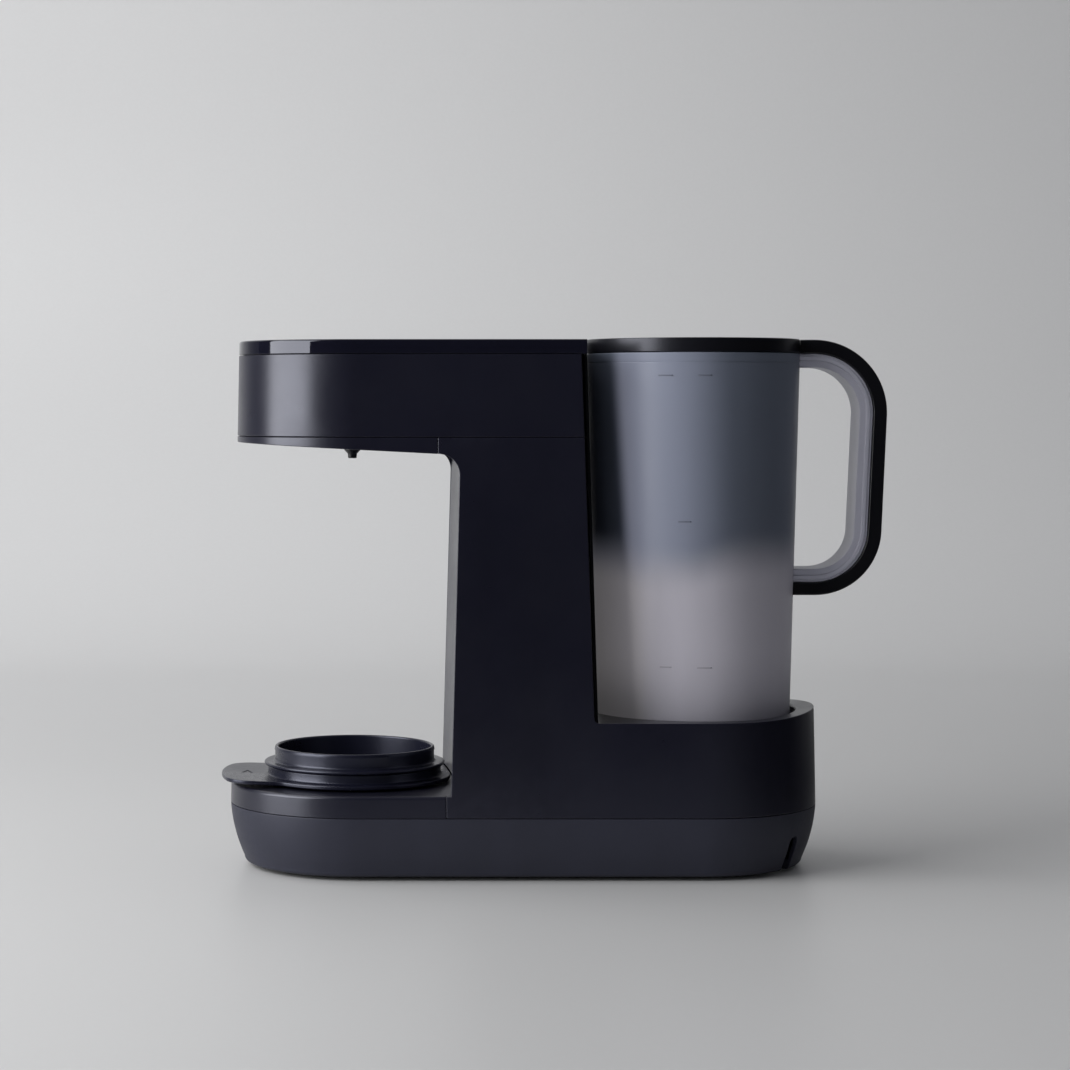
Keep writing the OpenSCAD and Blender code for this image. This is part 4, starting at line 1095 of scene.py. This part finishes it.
class DISPENSER_OT_lid(bpy.types.Operator):
    """Builds the jug's lid with its finger hollow"""
    bl_idname = "dispenser.lid"
    bl_label = "Build Lid"

    def execute(self, context):
        bottom = JUG_RIM_Z + 0.3
        lean, edge = 0.2, 0.6
        plug = 49.6
        r = LID_R + LID_LAP
        top = LID_TOP_Z
        profile = [(0, bottom - 1), (plug - 2, bottom - 1), (plug - 2, 247), (plug, 247), (plug, 249.4),
                   (plug - 1, 249.4), (plug - 1, 251.6), (plug, 251.6), (plug, bottom),
                   (r - 0.3, bottom), (r, bottom + 0.3)]
        profile += arc(r - lean - edge, top - edge, edge, 0, 90, 6)
        profile += [(LID_R - 6, top), (LID_R - 6.4, top - 0.1), (LID_R - 6.9, top - 0.7),
                    (LID_R - 7.4, top - 0.8), (0, top - 0.8)]
        lid = lathe("lid_disc", profile, (JUG_X, 0.0), 160)
        ball = [(13 * cos(radians(a)), top + 9 + 13 * sin(radians(a))) for a in range(-90, 91, 6)]
        cut(lid, lathe("hollow", ball, (JUG_X + 46, 0.0), 64))
        soften(lid, width=0)
        dress(lid, "lid", finish("Lid Black"), "black_plastic", "jug_lid")
        return {"FINISHED"}


# ---- Bottle stands ----
FLANGE_R = 47.9
TAB_HINGE = -31.0
TAB_SLOPE = math.tan(radians(2.2))


def tab_outline():
    """Plan of the lower stand's finger tab with the waist that joins it to the flange."""
    half = 33.5
    corner_r, end_r, waist_r = 14.0, 90.0, 12.0
    reach = STAND_X - low("lower_stand").x
    corner_y = half - corner_r
    end_x = end_r - reach
    corner_x = end_x - sqrt((end_r - corner_r) ** 2 - corner_y ** 2)
    waist_y = half + waist_r
    waist_x = -sqrt((FLANGE_R + waist_r) ** 2 - waist_y ** 2)
    meet = math.degrees(math.atan2(waist_y, waist_x))
    tip = math.degrees(math.asin(corner_y / (end_r - corner_r)))
    upper = arc(end_x, 0, end_r, 180, 180 - tip, 10)
    upper += arc(corner_x, corner_y, corner_r, 180 - tip, 90, 12)[1:]
    upper += arc(waist_x, waist_y, waist_r, -90, meet - 180, 8)
    upper += [(TAB_HINGE + 1.0, upper[-1][1] - 2.0), (TAB_HINGE + 6.0, upper[-1][1] - 6.0)]
    lower = [(x, -y) for x, y in reversed(upper[1:])]
    return [(STAND_X + x, y) for x, y in upper + lower]


class DISPENSER_OT_stands(bpy.types.Operator):
    """Builds the lower stand with its finger tab and the upper stand with its cup"""
    bl_idname = "dispenser.stands"
    bl_label = "Build Stands"

    def execute(self, context):
        centre = (STAND_X, 0.0)
        z0 = low("lower_stand").z
        flange_z0, flange_z1 = 42.7, 44.6
        cup_z = high("lower_stand").z
        ring_r, bore = 43.1, 41.3
        lower = plan_slab("stand_lower", tab_outline(), flange_z0 + 0.01, flange_z1 - 0.01)
        soften(lower, width=0.55 * MM, segments=4, limit=40)
        bake(lower)
        # The tab rises towards its tip
        for vert in lower.data.vertices:
            vert.co.z += max(0.0, (STAND_X + TAB_HINGE) * MM - vert.co.x) * TAB_SLOPE
        edge = 0.55
        disc = [(0, flange_z0)] + arc(FLANGE_R - edge, flange_z0 + edge, edge, -90, 0, 5)
        disc += arc(FLANGE_R - edge, flange_z1 - edge, edge, 0, 90, 5)
        disc += [(44.2, flange_z1), (43.5, flange_z1 + 0.5), (ring_r, flange_z1 + 1.2)]
        disc += arc(ring_r - edge, cup_z - edge, edge, 0, 90, 5)
        disc += [(bore + 0.2, cup_z), (bore, cup_z - 0.2), (bore, flange_z1 - 0.05), (0, flange_z1 - 0.05)]
        join(lower, lathe("lower_disc", disc, centre, 160))
        foot_top = flange_z0 + 0.3
        join(lower, lathe("foot", [(37, z0), (40, z0), (40, foot_top), (37, foot_top)], centre, 128))
        # Chevron pressed into the tab
        mark_x = STAND_X - 53.5
        half_l, foot, stroke = 5.0, 3.2, 1.4
        inner_tip = half_l - 2 * half_l * stroke / foot
        chevron = [(mark_x, half_l), (mark_x - foot, -half_l), (mark_x - foot + stroke, -half_l),
                   (mark_x, inner_tip), (mark_x + foot - stroke, -half_l), (mark_x + foot, -half_l)]
        cut(lower, plan_slab("chevron", chevron, flange_z1 + 0.1, flange_z1 + 3))
        soften(lower, width=0)
        dress(lower, "lower_stand", finish("Stand Black"), "black_plastic", "lower_stand")

        rim_z = high("upper_stand").z
        base_z = low("upper_stand").z
        flange_r = 45.0
        f0, f1 = 49.6, 51.4
        cup_r = 39.7
        wall = 1.8
        profile = [(0, base_z), (bore - 0.8, base_z), (bore - 0.3, base_z + 0.5), (bore - 0.3, f0),
                   (flange_r - 0.8, f0)]
        profile += arc(flange_r - 0.8, (f0 + f1) / 2, 0.8, -75, 75, 8)
        profile += [(flange_r - 1.2, f1 - 0.05), (cup_r + 1.6, f1 - 0.1)]
        profile += arc(cup_r + 1.2, f1 + 1.1, 1.2, 270, 180, 5)[1:]
        profile += [(cup_r, rim_z - 2.2), (cup_r + 0.25, rim_z - 1.9)]
        profile += arc(cup_r - wall / 2 + 0.1, rim_z - wall / 2, wall / 2, 10, 180, 8)
        profile += [(cup_r - wall, base_z + 3.4)] + arc(cup_r - wall - 1.4, base_z + 3.4, 1.4, 0, -90, 4)[1:]
        profile += [(0, base_z + 2.0)]
        upper = lathe("stand_upper", profile, centre, 160)
        soften(upper, width=0)
        dress(upper, "upper_stand", finish("Stand Black"), "black_plastic", "upper_stand")
        return {"FINISHED"}


# ---- Nodes that keep the frame's shape ----
CARRIED = {
    "Shadow Black": ("bottom_plate", "cord_gland", "nozzle_holder", "heater_clips", "pump_housing",
                     "pump_cover", "dock_socket", "valve_cage"),
    "Foot Rubber": ("rubber_feet", "pump_mount"),
    "Plated Steel": ("base_screws", "cover_screws", "frame_screws", "temperature_probe", "pump_motor"),
    "Drawn Steel": ("heater_tube", "valve_spring"),
    "Brass": ("thermal_cutout",),
    "Circuit Board": ("control_board", "power_board", "main_board"),
    "Milky Silicone": ("outlet_hose", "feed_hose", "heater_hose", "suction_hose", "lid_seal"),
    "Red Silicone": ("dock_seal", "valve_seal"),
    "White Moulding": ("heater_caps", "pump_impeller", "flow_meter", "flow_turbine", "valve_stem"),
    "Frame Grey": ("column_frame",),
    "Cable Sleeve": ("wire_harness",),
}


class DISPENSER_OT_inner(bpy.types.Operator):
    """Gives the inner parts their finishes"""
    bl_idname = "dispenser.inner"
    bl_label = "Finish Inner Parts"

    def execute(self, context):
        for name, nodes in CARRIED.items():
            for node in nodes:
                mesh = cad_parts[node].data
                mesh.materials.clear()
                mesh.materials.append(finish(name))
        return {"FINISHED"}


# ---- Studio ----
CAMERA_PLACE = (-101.3 * MM, -1.325, 230.05 * MM)
PHOTO_SIDE = 1070
MIDDLE_ROW = 535
HORIZON_ROW = 402
AXIS_COLUMN = 352
MIDDLE_PLANE_PIXELS = 2650


def lamp(name, place, aim, width, height, watts):
    """An area lamp aimed at a point, left out of the camera's view."""
    data = bpy.data.lights.new(name, "AREA")
    data.shape = "RECTANGLE"
    data.size = width
    data.size_y = height
    data.energy = watts
    light = bpy.data.objects.new(name, data)
    light.location = place
    light.visible_camera = False
    light.rotation_euler = (Vector(aim) - Vector(place)).to_track_quat("-Z", "Y").to_euler()
    bpy.context.scene.collection.objects.link(light)


def sweep_material():
    """Pale paper sweep, with painted shade that darkens it to the right and painted light that makes the wall
    lighter, a faint sheen and the object's shadow.
    """
    material, tree, shader, place = start_material("Paper Sweep")
    axes = add(tree.nodes, "ShaderNodeSeparateXYZ", "Axes")
    tree.links.new(place, axes.inputs["Vector"])
    # Painted light and shade: the paper darkens to the right, away from the left softbox, and is lighter
    # where it rises into the wall
    right = spread(tree, axes.outputs["X"], -0.3, 0.9, 0.0, 1.0, "Towards Right")
    table = blend_colours(tree, right, tone(194, 194, 194), tone(181, 181, 181), "Table Tone")
    wall = blend_colours(tree, right, tone(220, 220, 220), tone(213, 213, 213), "Wall Tone")
    back = spread(tree, axes.outputs["Y"], 0.3, 1.3, 0.0, 1.0, "Towards Back")
    shade = blend_colours(tree, back, table, wall, "Paper Tone")
    fibres = noise(tree, place, 300.0, 4.0, "Fibres")
    gain = spread(tree, fibres, 0.2, 0.8, 0.0, 0.03, "Fibre Tone")
    toned = blend_colours(tree, gain, shade, tone(150, 150, 150), "Fibre Colour")
    # Painted reflection: in glossy rays the table in front of and to the right of the object turns near
    # black, a painted dark room for the object to reflect
    near = spread(tree, axes.outputs["Y"], -0.45, -0.12, 1.0, 0.0, "Painted Reflection Front")
    side = spread(tree, axes.outputs["X"], 0.14, 0.3, 0.0, 1.0, "Painted Reflection Right")
    floor_side = calc(tree, "SUBTRACT", side, back, "Right Floor", clamp=True)
    dark = calc(tree, "MAXIMUM", near, floor_side, "Painted Dark Reflection")
    path = add(tree.nodes, "ShaderNodeLightPath", "Ray")
    dimmed = calc(tree, "MULTIPLY", dark, path.outputs["Is Glossy Ray"], "Seen In Reflections")
    seen = blend_colours(tree, dimmed, toned, tone(8, 8, 12), "Seen Tone")
    tree.links.new(seen, shader.inputs["Base Color"])
    shader.inputs["Roughness"].default_value = 0.42
    shader.inputs["Specular IOR Level"].default_value = 0.4
    return material


class DISPENSER_OT_studio(bpy.types.Operator):
    """Sets the paper sweep, the lamps, the world and the camera"""
    bl_idname = "dispenser.studio"
    bl_label = "Build Studio"

    def execute(self, context):
        scene = context.scene
        lens_data = bpy.data.cameras.new("Camera")
        lens_data.sensor_width = 36.0
        lens_data.lens = 36.0 * MIDDLE_PLANE_PIXELS / PHOTO_SIDE
        lens_data.shift_y = (HORIZON_ROW - MIDDLE_ROW) / PHOTO_SIDE
        lens_data.shift_x = (MIDDLE_ROW - AXIS_COLUMN) / PHOTO_SIDE
        camera = bpy.data.objects.new("Camera", lens_data)
        camera.location = CAMERA_PLACE
        camera.rotation_euler = (radians(90), 0, 0)
        scene.collection.objects.link(camera)
        scene.camera = camera

        # Paper sweep: a flat table that curves up into the wall
        width, near, turn_y, turn_r, height = 9000, -4000, 900, 700, 5000
        section = [(near, 0)] + [(turn_y + x, turn_r + z) for x, z in arc(0, 0, turn_r, -90, 0, 24)]
        section += [(turn_y + turn_r, height)]
        verts = [(side * width / 2, y, z) for side in (-1, 1) for y, z in section]
        count = len(section)
        faces = [(i, i + 1, count + i + 1, count + i) for i in range(count - 1)]
        sweep = new_piece("paper_sweep", verts, faces)
        for face in sweep.data.polygons:
            face.use_smooth = True
        sweep.data.materials.append(sweep_material())

        lamp("Left Softbox", (-1.245, -0.489, 0.62), (-0.1, 0, 0.16), 1.17, 1.3, 29)
        lamp("Top Fill", (0.0, 0.3, 1.9), (0, 0.2, 0.1), 2.2, 1.4, 3.5)
        lamp("Backdrop Lamp", (-1.2, 0.5, 2.2), (-0.2, 1.6, 0.5), 1.6, 1.0, 15)

        # The room lights matt surfaces softly, is dark in reflections and pale behind the sweep
        world = bpy.data.worlds.new("Studio")
        world.use_nodes = True
        backdrop = world.node_tree.nodes["Background"]
        backdrop.inputs["Color"].default_value = (*tone(200, 202, 208), 1)
        path = add(world.node_tree.nodes, "ShaderNodeLightPath", "Ray")
        strength = spread(world.node_tree, path.outputs["Is Diffuse Ray"], 0.0, 1.0, 0.04, 0.36, "Room Fill")
        seen = scale_add(world.node_tree, path.outputs["Is Camera Ray"], 0.7, strength, "Seen Behind")
        world.node_tree.links.new(seen, backdrop.inputs["Strength"])
        scene.world = world
        scene.view_settings.view_transform = "Standard"
        return {"FINISHED"}


PIECES = (DISPENSER_OT_base, DISPENSER_OT_deck, DISPENSER_OT_body, DISPENSER_OT_column, DISPENSER_OT_head,
          DISPENSER_OT_nozzle, DISPENSER_OT_well, DISPENSER_OT_jug, DISPENSER_OT_grip, DISPENSER_OT_lid,
          DISPENSER_OT_stands, DISPENSER_OT_inner, DISPENSER_OT_studio)


class DISPENSER_PT_panel(bpy.types.Panel):
    """Lists the dispenser's sizes, colours and pieces"""
    bl_idname = "DISPENSER_PT_panel"
    bl_label = "Dispenser"
    bl_space_type = "VIEW_3D"
    bl_region_type = "UI"
    bl_category = "Dispenser"

    def draw(self, context):
        layout = self.layout
        for settings in (context.scene.dispenser_sizes, context.scene.dispenser_colours):
            box_layout = layout.box()
            for name in settings.__annotations__:
                box_layout.prop(settings, name)
        for piece in PIECES:
            layout.operator(piece.bl_idname)


CLASSES = (DispenserSizes, DispenserColours) + PIECES + (DISPENSER_PT_panel,)


def register():
    for item in CLASSES:
        bpy.utils.register_class(item)
    bpy.types.Scene.dispenser_sizes = bpy.props.PointerProperty(type=DispenserSizes)
    bpy.types.Scene.dispenser_colours = bpy.props.PointerProperty(type=DispenserColours)


def unregister():
    del bpy.types.Scene.dispenser_colours
    del bpy.types.Scene.dispenser_sizes
    for item in reversed(CLASSES):
        bpy.utils.unregister_class(item)


def main():
    register()
    for piece in PIECES:
        group, name = piece.bl_idname.split(".")
        getattr(getattr(bpy.ops, group), name)()


if __name__ == "__main__":
    main()
